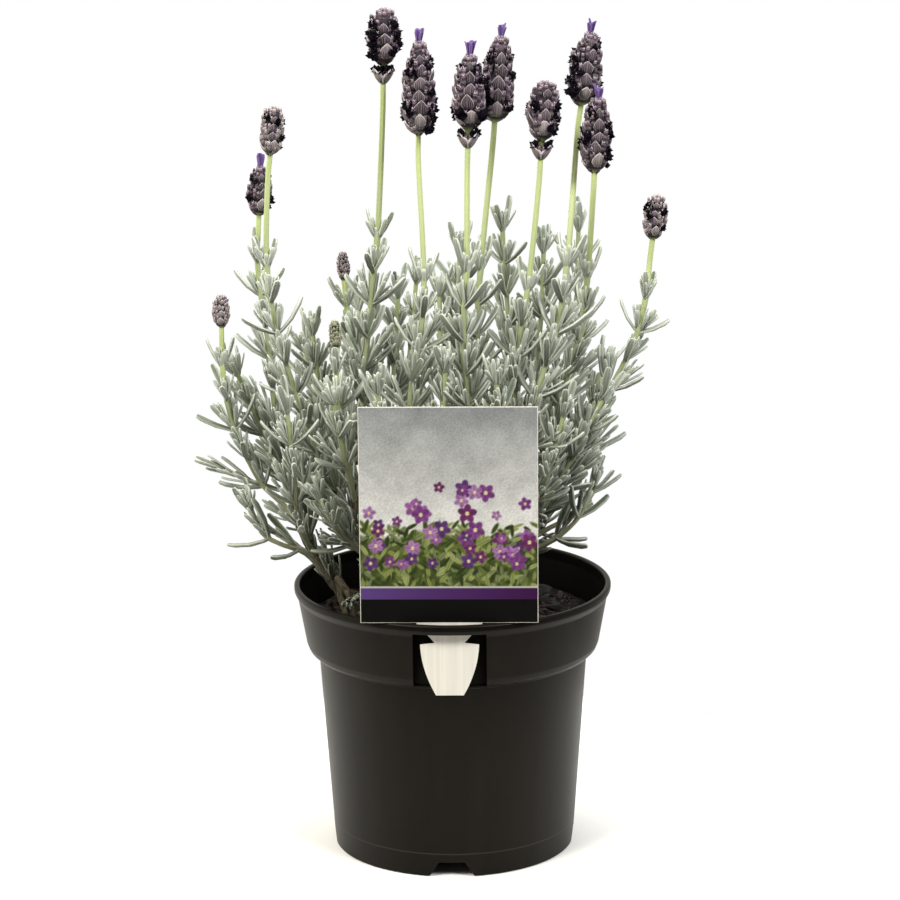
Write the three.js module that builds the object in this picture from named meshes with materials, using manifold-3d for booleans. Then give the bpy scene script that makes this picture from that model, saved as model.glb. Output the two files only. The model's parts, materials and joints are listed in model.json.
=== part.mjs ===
// A French lavender in a black nursery pot, with a picture label clipped into the rim.
// Sizes are millimetres and +Z is up. The origin is the middle of the flat foot under the
// pot, and the label faces -Y.

import * as THREE from 'three';
import { mergeVertices } from 'three/addons/utils/BufferGeometryUtils.js';
import Module from 'manifold-3d';

const wasm = await Module();
wasm.setup();

const GAP = 0.3; // clearance between pieces that touch on the real plant
const MERGE = 1e-4; // points nearer than this are one point
const DEGREE = Math.PI / 180;
const ROUND = 32; // sides of the pot and of the soil in it

const POT = {
  height: 170,
  rimRadius: 100,
  baseRadius: 76,
  wall: 1.4,
  footRadius: 44, // the flat middle of the base, which stands on the table
  footSlope: 2.5,
  channelHeight: 10, // the raised ring around it, which the drain holes go through
  floor: 1.6,
  shoulderHeight: 125.4,
  shoulderRadius: 84.8,
  collarHeight: 133, // where the wider collar starts, above its rounded shoulder
  collarRadius: 92.5,
  beadHeight: 163.8, // underside of the rolled rim
  beadInner: 96.4,
};

const DRAIN = { holes: 8, radius: 5.5, circle: 61, sides: 10 };
const NOTCH = { count: 4, wide: 28, narrow: 16, height: 9.4, inner: 68, outer: 80 };

// The window in the collar, which the label's tongue hangs in, and the slot above it.
const WINDOW = { half: 22.5, cheek: 1.5, back: 88, low: 128, high: 163.8 };

const LABEL = {
  thickness: 0.8,
  front: -93.2,
  cardHalf: 54,
  cardTop: 305,
  foldHalf: 20,
  foldLow: 167.4,
  neckHalf: 14.5,
  neckLow: 163.6,
  waistHalf: 9,
  waistHeight: 157.4,
  barbHalf: 18,
  barbHeight: 156.4,
  tongueHalf: 8.5,
  tongueLow: 124,
};

const SOIL = { surface: 146, lump: 3, rings: 4 };

const CROWN = { x: -10, y: 0, low: 126, high: 160, lowRadius: 9, highRadius: 7.5, sides: 8 };
const WOOD = { sides: 6, step: 32, footRadius: 4.2, tipRadius: 2.7 };

// Woody branches, from inside the crown outwards.
const BRANCHES = {
  farLeft: [[-13, -2, 157], [-42, -12, 160], [-70, -20, 170], [-84, -16, 188], [-96, -9, 209]],
  left: [[-12, 2, 157], [-40, 8, 170], [-62, 10, 196], [-76, 6, 222]],
  leftFront: [[-12, -3, 157], [-36, -22, 174], [-54, -30, 205], [-61, -31, 240]],
  leftMiddle: [[-11, 0, 158], [-28, 0, 190], [-44, -2, 228], [-52, -2, 258]],
  front: [[-10, -3, 158], [-14, -20, 190], [-20, -34, 232], [-24, -40, 266]],
  middle: [[-9, 0, 158], [0, -10, 192], [8, -24, 230], [12, -40, 262]],
  rightFront: [[-8, -2, 158], [12, -14, 188], [28, -22, 228], [37, -28, 264]],
  right: [[-8, 0, 157], [22, -6, 174], [44, -10, 196], [58, -12, 222]],
  rightBack: [[-8, 2, 157], [16, 16, 184], [38, 32, 222], [46, 42, 262]],
  leftBack: [[-11, 3, 157], [-24, 26, 182], [-40, 44, 218], [-50, 54, 250]],
  back: [[-10, 4, 157], [-8, 28, 184], [-2, 50, 222], [2, 58, 252]],
};

// Flower heads: foot and top of each, its radius, whether its lowest whorl stands apart,
// and whether it ends in a tuft.
const HEADS = [
  { foot: [-40, 0, 486], top: [-39, 0, 530], radius: 10.5, apart: true, tuft: false },
  { foot: [-18, -25, 458.5], top: [-17, -25, 523.5], radius: 10.8, apart: false, tuft: true },
  { foot: [12, -30, 451], top: [14, -30, 516], radius: 10.8, apart: true, tuft: true },
  { foot: [28, 0, 462], top: [33, 0, 523], radius: 11, apart: false, tuft: true },
  { foot: [56, -20, 442], top: [59, -20, 488], radius: 10.5, apart: true, tuft: false },
  { foot: [81, 12, 470.5], top: [88, 12, 523.5], radius: 11, apart: false, tuft: true },
  { foot: [89, -12, 433], top: [92, -12, 487], radius: 10.2, apart: false, tuft: true },
  { foot: [125, 0, 389], top: [128, 0, 415], radius: 7.7, apart: false, tuft: false },
  { foot: [-109, -14, 445], top: [-106, -14, 473], radius: 7.7, apart: false, tuft: false },
  { foot: [-119, 18, 402], top: [-117, 18, 441], radius: 8.6, apart: false, tuft: true },
  { foot: [-142, -5, 335.5], top: [-142, -5, 354.5], radius: 5.8, apart: false, tuft: false },
  { foot: [-67, 27, 358.5], top: [-68, 27, 375.5], radius: 4.2, apart: false, tuft: false },
  { foot: [-69, -40, 330], top: [-70, -40, 346], radius: 4.2, apart: false, tuft: false },
];

// Leafy shoots: the branch each grows from and the share of the way along it, the points of
// its route, and the number of the flower head that it carries, if any.
const SHOOTS = [
  { on: 'farLeft', at: 1, head: 11,
    by: [[-105, -1, 219], [-119, 0, 233], [-129, -2, 253], [-138, -4, 279], [-142, -6, 312]] },
  { on: 'left', at: 1, head: 9,
    by: [[-80, -4, 240], [-88, -14, 272], [-98, -20, 303], [-108, -20, 344], [-112, -19, 378]] },
  { on: 'left', at: 0.82, head: 10,
    by: [[-92, 16, 230], [-111, 24, 270], [-114, 25, 307], [-119, 25, 346], [-121, 24, 372]] },
  { on: 'leftMiddle', at: 1, head: 1,
    by: [[-55, -3, 288], [-51, -5, 330], [-47, -5, 370], [-44.5, -4, 392]] },
  { on: 'front', at: 1, head: 2,
    by: [[-24, -45, 300], [-17, -45, 340], [-15, -42, 372]] },
  { on: 'middle', at: 1, head: 3,
    by: [[11, -50, 298], [9, -50, 340], [11, -46, 378]] },
  { on: 'middle', at: 0.72, head: 4,
    by: [[12, -14, 268], [16, -8, 327], [19, -9, 372]] },
  { on: 'rightFront', at: 1, head: 5,
    by: [[40, -30, 300], [44, -30, 341], [48, -28, 363]] },
  { on: 'rightFront', at: 0.86, head: 6,
    by: [[45, -36, 272], [55, -35, 305], [66, -30, 340], [72, -25, 378]] },
  { on: 'right', at: 0.9, head: 7,
    by: [[60, -2, 244], [68, 2, 287], [81, 1, 330], [85, 0, 366]] },
  { on: 'right', at: 1, head: 8,
    by: [[68, -9, 232], [86, -6, 262], [98, -5, 293], [114, -5, 325], [121, -5, 354]] },
  { on: 'leftFront', at: 1, head: 13,
    by: [[-64, -36, 264], [-68, -40, 297], [-69, -40, 314]] },
  { on: 'left', at: 0.92, head: 12,
    by: [[-66, 22, 248], [-58, 29, 285], [-63, 30, 322], [-66, 29, 342]] },
  { on: 'farLeft', at: 0.82, by: [[-92, 2, 214], [-103, 9, 236], [-119, 11, 265], [-134, 10, 302]] },
  { on: 'farLeft', at: 0.68, by: [[-92, -26, 196], [-106, -32, 203], [-117, -33, 210], [-124, -33, 226]] },
  { on: 'farLeft', at: 0.8, by: [[-94, -30, 214], [-96, -43, 250], [-99, -50, 292]] },
  { on: 'leftFront', at: 0.9, by: [[-62, -42, 248], [-67, -50, 274], [-70, -52, 298]] },
  { on: 'leftFront', at: 0.5, by: [[-61, -40, 205], [-72, -50, 221], [-80, -57, 240]] },
  { on: 'left', at: 0.72, by: [[-76, 24, 234], [-84, 34, 282], [-88, 37, 322]] },
  { on: 'leftMiddle', at: 0.82, by: [[-40, 10, 262], [-36, 16, 305], [-33, 18, 350]] },
  { on: 'front', at: 0.86, by: [[-34, -50, 262], [-39, -61, 284], [-43, -69, 308]] },
  { on: 'front', at: 0.72, by: [[-8, -44, 252], [-3, -54, 286], [-2, -60, 320]] },
  { on: 'middle', at: 0.55, by: [[-2, -2, 238], [-6, 6, 290], [-7, 12, 352]] },
  { on: 'rightFront', at: 0.74, by: [[30, -42, 250], [31, -54, 282], [29, -60, 312]] },
  { on: 'right', at: 0.84, by: [[62, -25, 232], [79, -27, 262], [94, -26, 294]] },
  { on: 'right', at: 0.76, by: [[51, -30, 224], [61, -44, 254], [70, -51, 290]] },
  { on: 'right', at: 0.62, by: [[57, -19, 198], [76, -25, 214], [90, -27, 238]] },
  { on: 'right', at: 0.7, by: [[60, 2, 203], [76, 6, 211], [88, 8, 226]] },
  { on: 'rightBack', at: 1, by: [[53, 42, 296], [57, 40, 340], [58, 40, 374]] },
  { on: 'rightBack', at: 0.86, by: [[62, 42, 270], [77, 41, 322], [80, 40, 388]] },
  { on: 'rightBack', at: 0.68, by: [[60, 44, 232], [82, 52, 260], [96, 56, 294]] },
  { on: 'rightBack', at: 0.92, by: [[38, 52, 284], [35, 60, 334], [32, 61, 384]] },
  { on: 'leftBack', at: 1, by: [[-55, 60, 282], [-60, 65, 332]] },
  { on: 'leftBack', at: 0.8, by: [[-64, 58, 240], [-84, 65, 268], [-95, 68, 304]] },
  { on: 'leftBack', at: 0.9, by: [[-36, 56, 268], [-27, 60, 308], [-23, 61, 350]] },
  { on: 'leftBack', at: 0.62, by: [[-54, 58, 208], [-70, 74, 224], [-82, 84, 248]] },
  { on: 'back', at: 1, by: [[2, 65, 288], [3, 69, 330], [5, 70, 368]] },
  { on: 'back', at: 0.8, by: [[16, 64, 250], [32, 78, 278], [40, 85, 310]] },
  { on: 'back', at: 0.62, by: [[-12, 66, 222], [-24, 86, 248], [-30, 93, 276]] },
];

const SHOOT = { footRadius: 2.3, tipRadius: 1.7, stalkRadius: 2.1, sides: 4, step: 36, neck: 14 };

const LEAF = {
  spacing: 20.5, // between one pair and the next, which stands crosswise to it
  firstPair: 16,
  seat: 1.1, // half the height of the stem's face that a leaf is drawn out of
  length: 30,
  half: 2.3,
  thickness: 1,
  stations: [{ share: 0.4, width: 0.95 }, { share: 0.87, width: 0.85 }],
  rootAngle: 60, // away from the stem at the root, then bending in along it
  tipAngle: 26,
  topRootAngle: 28,
  topTipAngle: 8,
  sway: 24, // how far leaves differ sideways, and up and down
  spread: 14,
};

// How a leaf that would touch a neighbour is bent clear: turned round the stem, lifted
// towards it, and shortened.
const BENDS = [
  { turn: 0, lift: 0, length: 1 },
  { turn: 22, lift: 0, length: 1 },
  { turn: -22, lift: 0, length: 1 },
  { turn: 0, lift: 16, length: 1 },
  { turn: 30, lift: 14, length: 0.9 },
  { turn: -30, lift: 14, length: 0.9 },
  { turn: 0, lift: -16, length: 0.85 },
  { turn: 0, lift: 26, length: 0.75 },
];

const WHORL = {
  height: 9, sides: 8, overlap: 0.94, hollow: 0.76, footRadius: 2.6, stalk: 2.4, gap: 5,
};
const TUFT = { height: 10, neck: 1.8, flare: 3.2 };
const FLORET = { radius: 2.5, reach: 0.86, whorls: [1, 2, 3], smallestHead: 10 };

const COLORS = {
  pot: 0x24231f,
  soil: 0x2a1e16,
  label: 0xe8e6e2,
  wood: 0x6b5a48,
  shoot: 0x9aab94,
  head: 0x6c5a66,
};

// ---- solids ----

function solidOf(geometry) {
  const bare = new THREE.BufferGeometry();
  bare.setAttribute('position', geometry.getAttribute('position'));
  bare.setIndex(geometry.getIndex());
  const merged = mergeVertices(bare, MERGE);
  const index = merged.getIndex().array;
  const triVerts = [];
  for (let i = 0; i < index.length; i += 3) {
    const [a, b, c] = [index[i], index[i + 1], index[i + 2]];
    if (a !== b && b !== c && c !== a) triVerts.push(a, b, c);
  }
  return new wasm.Manifold(new wasm.Mesh({
    numProp: 3,
    vertProperties: new Float32Array(merged.getAttribute('position').array),
    triVerts: new Uint32Array(triVerts),
  }));
}

function geometryOf(solid) {
  const mesh = solid.getMesh();
  const geometry = new THREE.BufferGeometry();
  geometry.setAttribute('position', new THREE.BufferAttribute(mesh.vertProperties, 3));
  geometry.setIndex(new THREE.BufferAttribute(mesh.triVerts, 1));
  geometry.computeVertexNormals();
  return geometry;
}

// The largest body of a solid, without loose scraps and sealed hollows.
function mainBody(solid) {
  const bodies = solid.decompose();
  bodies.sort((one, other) => other.volume() - one.volume());
  return bodies[0];
}

// Gathers the points and triangles of a closed mesh. A ring is a list of point numbers,
// counter-clockwise about the way on, and a ring of one point is a tip.
class Skin {
  constructor() {
    this.positions = [];
    this.index = [];
  }

  ring(points) {
    return points.map((point) => {
      this.positions.push(point.x, point.y, point.z);
      return this.positions.length / 3 - 1;
    });
  }

  quad(a, b, c, d) {
    this.index.push(a, b, c, a, c, d);
  }

  join(low, high) {
    const count = Math.max(low.length, high.length);
    for (let i = 0; i < count; i += 1) {
      const j = (i + 1) % count;
      if (low.length === 1) this.index.push(low[0], high[j], high[i]);
      else if (high.length === 1) this.index.push(low[i], low[j], high[0]);
      else this.quad(low[i], low[j], high[j], high[i]);
    }
  }

  cap(ring) {
    for (let i = 1; i + 1 < ring.length; i += 1) this.index.push(ring[0], ring[i], ring[i + 1]);
  }

  geometry() {
    const geometry = new THREE.BufferGeometry();
    geometry.setAttribute('position', new THREE.Float32BufferAttribute(this.positions, 3));
    geometry.setIndex(this.index);
    return geometry;
  }
}

// A closed mesh through rings of points, each end capped flat or drawn to a tip.
function ringsGeometry(rings) {
  const skin = new Skin();
  const numbered = rings.map((ring) => skin.ring(ring));
  numbered.slice(1).forEach((ring, k) => skin.join(numbered[k], ring));
  skin.cap([...numbered[0]].reverse());
  skin.cap(numbered[numbered.length - 1]);
  return skin.geometry();
}

function circle(radius, height, sides, x = 0, y = 0) {
  return Array.from({ length: sides }, (_, i) => {
    const angle = (i / sides) * 2 * Math.PI - Math.PI / 2;
    return new THREE.Vector3(x + radius * Math.cos(angle), y + radius * Math.sin(angle), height);
  });
}

function latheSolid(profile) {
  const points = profile.map(([radius, height]) => new THREE.Vector2(radius, height));
  return solidOf(new THREE.LatheGeometry(points, ROUND).rotateX(Math.PI / 2));
}

function boxSolid(low, high) {
  const from = new THREE.Vector3(...low);
  const size = new THREE.Vector3(...high).sub(from);
  const box = new THREE.BoxGeometry(size.x, size.y, size.z);
  return solidOf(box.translate(from.x + size.x / 2, from.y + size.y / 2, from.z + size.z / 2));
}

// The front part of a turned ring, up to a half width from the middle.
function frontSector(profile, half) {
  const front = boxSolid([-half, -2 * POT.rimRadius, -1], [half, 0, 2 * POT.height]);
  return latheSolid([...profile, profile[0]]).intersect(front);
}

// A value from 0 to 1 that is always the same for the same keys.
function chance(...keys) {
  let hash = 2166136261;
  keys.forEach((key) => {
    hash = Math.imul(hash ^ key, 16777619);
    hash ^= hash >>> 13;
  });
  hash = Math.imul(hash ^ (hash >>> 15), 2246822507);
  hash ^= hash >>> 13;
  return (hash >>> 0) / 4294967296;
}

// ---- pot ----

function wallRadius(height) {
  const rise = height / POT.shoulderHeight;
  return POT.baseRadius + (POT.shoulderRadius - POT.baseRadius) * rise;
}

function potProfile() {
  const { height, rimRadius, wall, channelHeight, floor, shoulderHeight, collarHeight } = POT;
  const { shoulderRadius, collarRadius, beadHeight, beadInner, footRadius, footSlope } = POT;
  return [
    [0, 0],
    [footRadius, 0],
    [footRadius + footSlope, channelHeight],
    [wallRadius(channelHeight) - wall, channelHeight],
    [wallRadius(0) - wall, 0],
    [wallRadius(0), 0],
    [shoulderRadius, shoulderHeight],
    [shoulderRadius + 3.4, shoulderHeight + 1.2],
    [collarRadius - 1.4, shoulderHeight + 4],
    [collarRadius, collarHeight],
    [rimRadius - 2.2, beadHeight - 0.2],
    [rimRadius - 0.4, beadHeight + 0.4],
    [rimRadius, beadHeight + 1.6],
    [rimRadius, height - 0.9],
    [rimRadius - 0.9, height],
    [beadInner + 0.6, height],
    [beadInner, height - 0.9],
    [beadInner - 0.1, beadHeight - 0.4],
    [collarRadius - wall, collarHeight + 0.3],
    [collarRadius - 3, collarHeight - 2.6],
    [shoulderRadius + 2.2, shoulderHeight + 2.7],
    [shoulderRadius - wall, shoulderHeight + 1.4],
    [wallRadius(channelHeight + floor) - wall, channelHeight + floor],
    [footRadius + footSlope - 1.4, channelHeight + floor],
    [footRadius - 1.4, floor],
    [0, floor],
  ];
}

// The folded-in panel that makes the window, as a block that the window is cut from.
function windowBlock() {
  const { back, half, cheek } = WINDOW;
  const { wall, height, shoulderHeight, beadHeight, beadInner, collarRadius, collarHeight } = POT;
  return frontSector([
    [back - wall, shoulderHeight + 1.4],
    [back + 0.8, shoulderHeight + 2.4],
    [collarRadius - 0.7, collarHeight],
    [beadInner + 0.6, beadHeight],
    [beadInner + 0.6, height - 1.5],
    [back - wall, height - 1.5],
  ], half + cheek);
}

function windowCut() {
  const { back, half, low, high } = WINDOW;
  const outside = POT.rimRadius + 4;
  const above = POT.height + 5;
  const window = frontSector([[back, low], [outside, low], [outside, high], [back, high]], half);
  const slot = frontSector([
    [back, high - 1], [POT.beadInner, high - 1], [POT.beadInner, above], [back, above],
  ], half);
  return window.add(slot);
}

// A tapered notch in the skirt under the pot, which lets the water out.
function notchCut(angle) {
  const { wide, narrow, height, inner, outer } = NOTCH;
  const flare = (wide - narrow) / 2 / height;
  const shape = new THREE.Shape();
  shape.moveTo(-wide / 2 - flare, -1);
  shape.lineTo(wide / 2 + flare, -1);
  shape.lineTo(narrow / 2, height);
  shape.lineTo(-narrow / 2, height);
  shape.closePath();
  const notch = new THREE.ExtrudeGeometry(shape, { depth: outer - inner, bevelEnabled: false });
  notch.rotateX(Math.PI / 2).translate(0, -inner, 0).rotateZ(angle);
  return solidOf(notch);
}

function drainCut(angle) {
  const { radius, circle: reach, sides } = DRAIN;
  const { channelHeight, floor } = POT;
  const rings = [circle(radius, channelHeight - 1, sides), circle(radius, channelHeight + floor + 1, sides)];
  return solidOf(ringsGeometry(rings).translate(0, -reach, 0).rotateZ(angle));
}

function potSolid() {
  let pot = latheSolid(potProfile()).add(windowBlock()).subtract(windowCut());
  for (let k = 0; k < NOTCH.count; k += 1) {
    pot = pot.subtract(notchCut((k / NOTCH.count) * 2 * Math.PI));
  }
  for (let k = 0; k < DRAIN.holes; k += 1) {
    pot = pot.subtract(drainCut(((k + 0.5) / DRAIN.holes) * 2 * Math.PI));
  }
  return pot;
}

// ---- soil ----

function lumpyRing(radius, ring) {
  return circle(radius, SOIL.surface, ROUND).map((point, i) => {
    point.z += SOIL.lump * (2 * chance(1, ring, i) - 1);
    return point;
  });
}

function soilSolid() {
  const { footRadius, footSlope, channelHeight, floor, wall } = POT;
  const { shoulderHeight, shoulderRadius, collarHeight, collarRadius } = POT;
  const channelTop = channelHeight + floor + GAP;
  const reach = collarRadius - wall - GAP + (SOIL.surface - collarHeight) * 0.12;
  const rings = [
    [new THREE.Vector3(0, 0, floor + GAP)],
    circle(footRadius - 2.2, floor + GAP, ROUND),
    circle(footRadius + footSlope - 2.2, channelTop, ROUND),
    circle(wallRadius(channelTop) - wall - GAP, channelTop, ROUND),
    circle(shoulderRadius - wall - GAP, shoulderHeight + 1.8, ROUND),
    circle(shoulderRadius + 1.8, shoulderHeight + 3.2, ROUND),
    circle(collarRadius - 3.4, collarHeight - 2.2, ROUND),
    circle(collarRadius - wall - GAP, collarHeight + 0.4, ROUND),
  ];
  for (let ring = 0; ring < SOIL.rings; ring += 1) {
    rings.push(lumpyRing(reach * (1 - ring / (SOIL.rings + 0.2)), ring));
  }
  rings.push([new THREE.Vector3(0, 0, SOIL.surface)]);
  const recess = frontSector([
    [WINDOW.back - wall - GAP, shoulderHeight - 2], [POT.rimRadius, shoulderHeight - 2],
    [POT.rimRadius, POT.height], [WINDOW.back - wall - GAP, POT.height],
  ], WINDOW.half + WINDOW.cheek + GAP);
  return solidOf(ringsGeometry(rings)).subtract(recess).subtract(crownSolid(GAP + 0.1));
}

// ---- label ----

function labelSolid() {
  const { cardHalf, cardTop, foldHalf, foldLow, neckHalf, neckLow, waistHalf, waistHeight } = LABEL;
  const { barbHalf, barbHeight, tongueHalf, tongueLow, thickness, front } = LABEL;
  const cardLow = POT.height + GAP;
  const shape = new THREE.Shape();
  shape.moveTo(-tongueHalf, tongueLow);
  shape.lineTo(tongueHalf, tongueLow);
  shape.quadraticCurveTo(barbHalf - 0.6, (tongueLow + barbHeight) / 2, barbHalf, barbHeight);
  shape.lineTo(waistHalf, waistHeight);
  shape.lineTo(neckHalf, neckLow);
  shape.lineTo(foldHalf, foldLow);
  shape.lineTo(foldHalf, cardLow);
  shape.lineTo(cardHalf, cardLow);
  shape.lineTo(cardHalf, cardTop);
  shape.lineTo(-cardHalf, cardTop);
  shape.lineTo(-cardHalf, cardLow);
  shape.lineTo(-foldHalf, cardLow);
  shape.lineTo(-foldHalf, foldLow);
  shape.lineTo(-neckHalf, neckLow);
  shape.lineTo(-waistHalf, waistHeight);
  shape.lineTo(-barbHalf, barbHeight);
  shape.quadraticCurveTo(-barbHalf + 0.6, (tongueLow + barbHeight) / 2, -tongueHalf, tongueLow);
  const card = new THREE.ExtrudeGeometry(shape, {
    depth: thickness, bevelEnabled: false, curveSegments: 6,
  });
  return solidOf(card.rotateX(Math.PI / 2).translate(0, front + thickness, 0));
}

// ---- wood and stems ----

// The point, the way on and the two cross directions at a share of the way along a route.
function frameAt(route, share) {
  const along = route.getTangentAt(share);
  const side = new THREE.Vector3(0, 1, 0).addScaledVector(along, -along.y).normalize();
  const front = new THREE.Vector3().crossVectors(along, side);
  return { point: route.getPointAt(share), along, side, front };
}

// The corners of a stem's section at a distance along its route.
function sectionAt(route, distance, { footRadius, tipRadius, sides, turn }) {
  const share = Math.min(1, distance / route.getLength());
  const { point, side, front } = frameAt(route, share);
  const radius = footRadius + (tipRadius - footRadius) * share;
  return Array.from({ length: sides }, (_, i) => {
    const angle = ((i + 0.5) / sides) * 2 * Math.PI + turn;
    return point.clone()
      .addScaledVector(side, radius * Math.cos(angle))
      .addScaledVector(front, radius * Math.sin(angle));
  });
}

function evenDistances(from, to, step) {
  const steps = Math.max(1, Math.round((to - from) / step));
  return Array.from({ length: steps + 1 }, (_, k) => from + ((to - from) * k) / steps);
}

// A tube along a whole route, run on past its end by an overrun.
function tubeSolid(route, section, step, overrun) {
  const distances = evenDistances(0, route.getLength(), step);
  const rings = distances.map((distance) => sectionAt(route, distance, section));
  const further = route.getTangentAt(1).multiplyScalar(overrun);
  rings[rings.length - 1].forEach((corner) => corner.add(further));
  return solidOf(ringsGeometry(rings));
}

function routeThrough(points) {
  return new THREE.CatmullRomCurve3(points.map((point) => new THREE.Vector3(...point)));
}

function crownSolid(swell) {
  const { x, y, low, high, lowRadius, highRadius, sides } = CROWN;
  return solidOf(ringsGeometry([
    circle(lowRadius + swell, low - swell, sides, x, y),
    circle(lowRadius + swell, SOIL.surface, sides, x, y),
    circle(highRadius + swell, high + swell, sides, x, y),
  ]));
}

function woodSolid(swell) {
  const { footRadius, tipRadius, sides, step } = WOOD;
  const section = { footRadius: footRadius + swell, tipRadius: tipRadius + swell, sides, turn: 0 };
  const branches = Object.values(BRANCHES).map(
    (points) => tubeSolid(routeThrough(points), section, step, swell),
  );
  return mainBody(wasm.Manifold.union([crownSolid(swell), ...branches]));
}

// ---- leafy stems ----

function belowHead(number, below) {
  const { foot, top } = HEADS[number - 1];
  const from = new THREE.Vector3(...foot);
  const way = new THREE.Vector3(...top).sub(from).normalize();
  return from.addScaledVector(way, -below).toArray();
}

// A shoot's route, its leafy length and its section. Past that it is a bare flower stalk.
function shootPlan(shoot, number) {
  const foot = routeThrough(BRANCHES[shoot.on]).getPointAt(shoot.at).toArray();
  const stalk = shoot.head ? [SHOOT.neck, GAP].map((below) => belowHead(shoot.head, below)) : [];
  const points = [foot, ...shoot.by, ...stalk];
  const route = routeThrough(points);
  const lengths = route.getLengths();
  const last = shoot.by.length / (points.length - 1);
  const leafy = lengths[Math.floor(last * (lengths.length - 1))];
  const spin = 360 * chance(2, number);
  const { footRadius, tipRadius, stalkRadius, sides } = SHOOT;
  const endRadius = shoot.head ? stalkRadius : tipRadius;
  const section = { footRadius, tipRadius: endRadius, sides, turn: spin * DEGREE };
  return { number, route, leafy, spin, section, pairs: pairDistances(leafy) };
}

// The distances along a shoot of its leaf pairs, counted back from the top one.
function pairDistances(leafy) {
  const count = Math.max(1, Math.floor((leafy - LEAF.firstPair) / LEAF.spacing));
  return Array.from({ length: count + 1 }, (_, k) => leafy - 2 - (count - k) * LEAF.spacing);
}

// The distances of a shoot's sections: one under and one over each leaf pair.
function sectionDistances({ route, leafy, pairs }) {
  const seats = pairs.flatMap((distance) => [distance - LEAF.seat, distance + LEAF.seat]);
  return [0, ...seats, ...evenDistances(leafy, route.getLength(), SHOOT.step)
    .filter((distance, k) => k > 0 || route.getLength() - leafy < 1)];
}

// A leaf of a pair: the side of the stem that it grows from, its length and its bend.
function leafPlan(plan, pair, end, bend) {
  const { number, route, leafy, spin, pairs } = plan;
  const distance = pairs[pair];
  const { point, along, side, front } = frameAt(route, distance / route.getLength());
  const rise = distance / leafy;
  const top = Math.max(0, 1 - (leafy - distance) / LEAF.spacing);
  const face = (pair + 2 * end) % 4;
  const sway = (chance(3, number, pair, end) - 0.5) * LEAF.sway + bend.turn;
  const turn = (spin + 90 * (face + 1) + sway) * DEGREE;
  const spread = (chance(4, number, pair, end) - 0.5) * LEAF.spread - bend.lift;
  const mix = (low, high) => (low + (high - low) * top + spread * (1 - 0.6 * top)) * DEGREE;
  const vigour = 0.86 + 0.26 * chance(5, number, pair, end);
  return {
    face,
    root: point,
    along,
    out: side.clone().multiplyScalar(Math.cos(turn)).addScaledVector(front, Math.sin(turn)),
    length: LEAF.length * vigour * (1 - 0.25 * rise * rise) * bend.length,
    rootAngle: mix(LEAF.rootAngle, LEAF.topRootAngle),
    tipAngle: mix(LEAF.tipAngle, LEAF.topTipAngle),
  };
}

// The middle of a leaf and its way on, at a share of its length.
function leafMiddle({ root, along, out, length, rootAngle, tipAngle }, share) {
  const bend = tipAngle - rootAngle;
  const angle = rootAngle + bend * share;
  const forward = (length * (Math.sin(angle) - Math.sin(rootAngle))) / bend;
  const outward = (length * (Math.cos(rootAngle) - Math.cos(angle))) / bend;
  return {
    point: root.clone().addScaledVector(along, forward).addScaledVector(out, outward),
    way: along.clone().multiplyScalar(Math.cos(angle)).addScaledVector(out, Math.sin(angle)),
  };
}

// The sections of a leaf past its root, and its tip.
function leafRings(leaf) {
  const across = new THREE.Vector3().crossVectors(leaf.along, leaf.out);
  const rings = LEAF.stations.map(({ share, width }) => {
    const { point, way } = leafMiddle(leaf, share);
    const upper = new THREE.Vector3().crossVectors(way, across);
    return [[-1, -1], [1, -1], [1, 1], [-1, 1]].map(([right, high]) => point.clone()
      .addScaledVector(across, right * LEAF.half * width)
      .addScaledVector(upper, (high * LEAF.thickness) / 2));
  });
  return [...rings, [leafMiddle(leaf, 1).point]];
}

// The face of the stem that a leaf grows from, as a ring about the way out.
function leafSeat(plan, leaf, pair) {
  const [low, high] = [-LEAF.seat, LEAF.seat].map(
    (offset) => sectionAt(plan.route, plan.pairs[pair] + offset, plan.section),
  );
  const next = (leaf.face + 1) % SHOOT.sides;
  return [low[leaf.face], low[next], high[next], high[leaf.face]];
}

function obstacle(solid) {
  const { min, max } = solid.boundingBox();
  return { solid, min, max };
}

function isClear(candidate, others) {
  return others.every((other) => {
    const apart = [0, 1, 2].some((axis) => candidate.min[axis] > other.max[axis] + GAP
      || other.min[axis] > candidate.max[axis] + GAP);
    return apart || candidate.solid.minGap(other.solid, 2 * GAP) >= GAP;
  });
}

// The first bend of a leaf that clears its neighbours, or nothing.
function clearLeaf(plan, pair, end, others) {
  for (const bend of BENDS) {
    const leaf = leafPlan(plan, pair, end, bend);
    const body = solidOf(ringsGeometry([leafSeat(plan, leaf, pair), ...leafRings(leaf)]));
    const candidate = { ...obstacle(body), leaf, pair };
    if (isClear(candidate, others)) return candidate;
  }
  return null;
}

function clearLeaves(plan, others) {
  const leaves = [];
  plan.pairs.forEach((_, pair) => {
    [0, 1].forEach((end) => {
      const leaf = clearLeaf(plan, pair, end, [...others, ...leaves]);
      if (leaf) leaves.push(leaf);
    });
  });
  return leaves;
}

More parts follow.
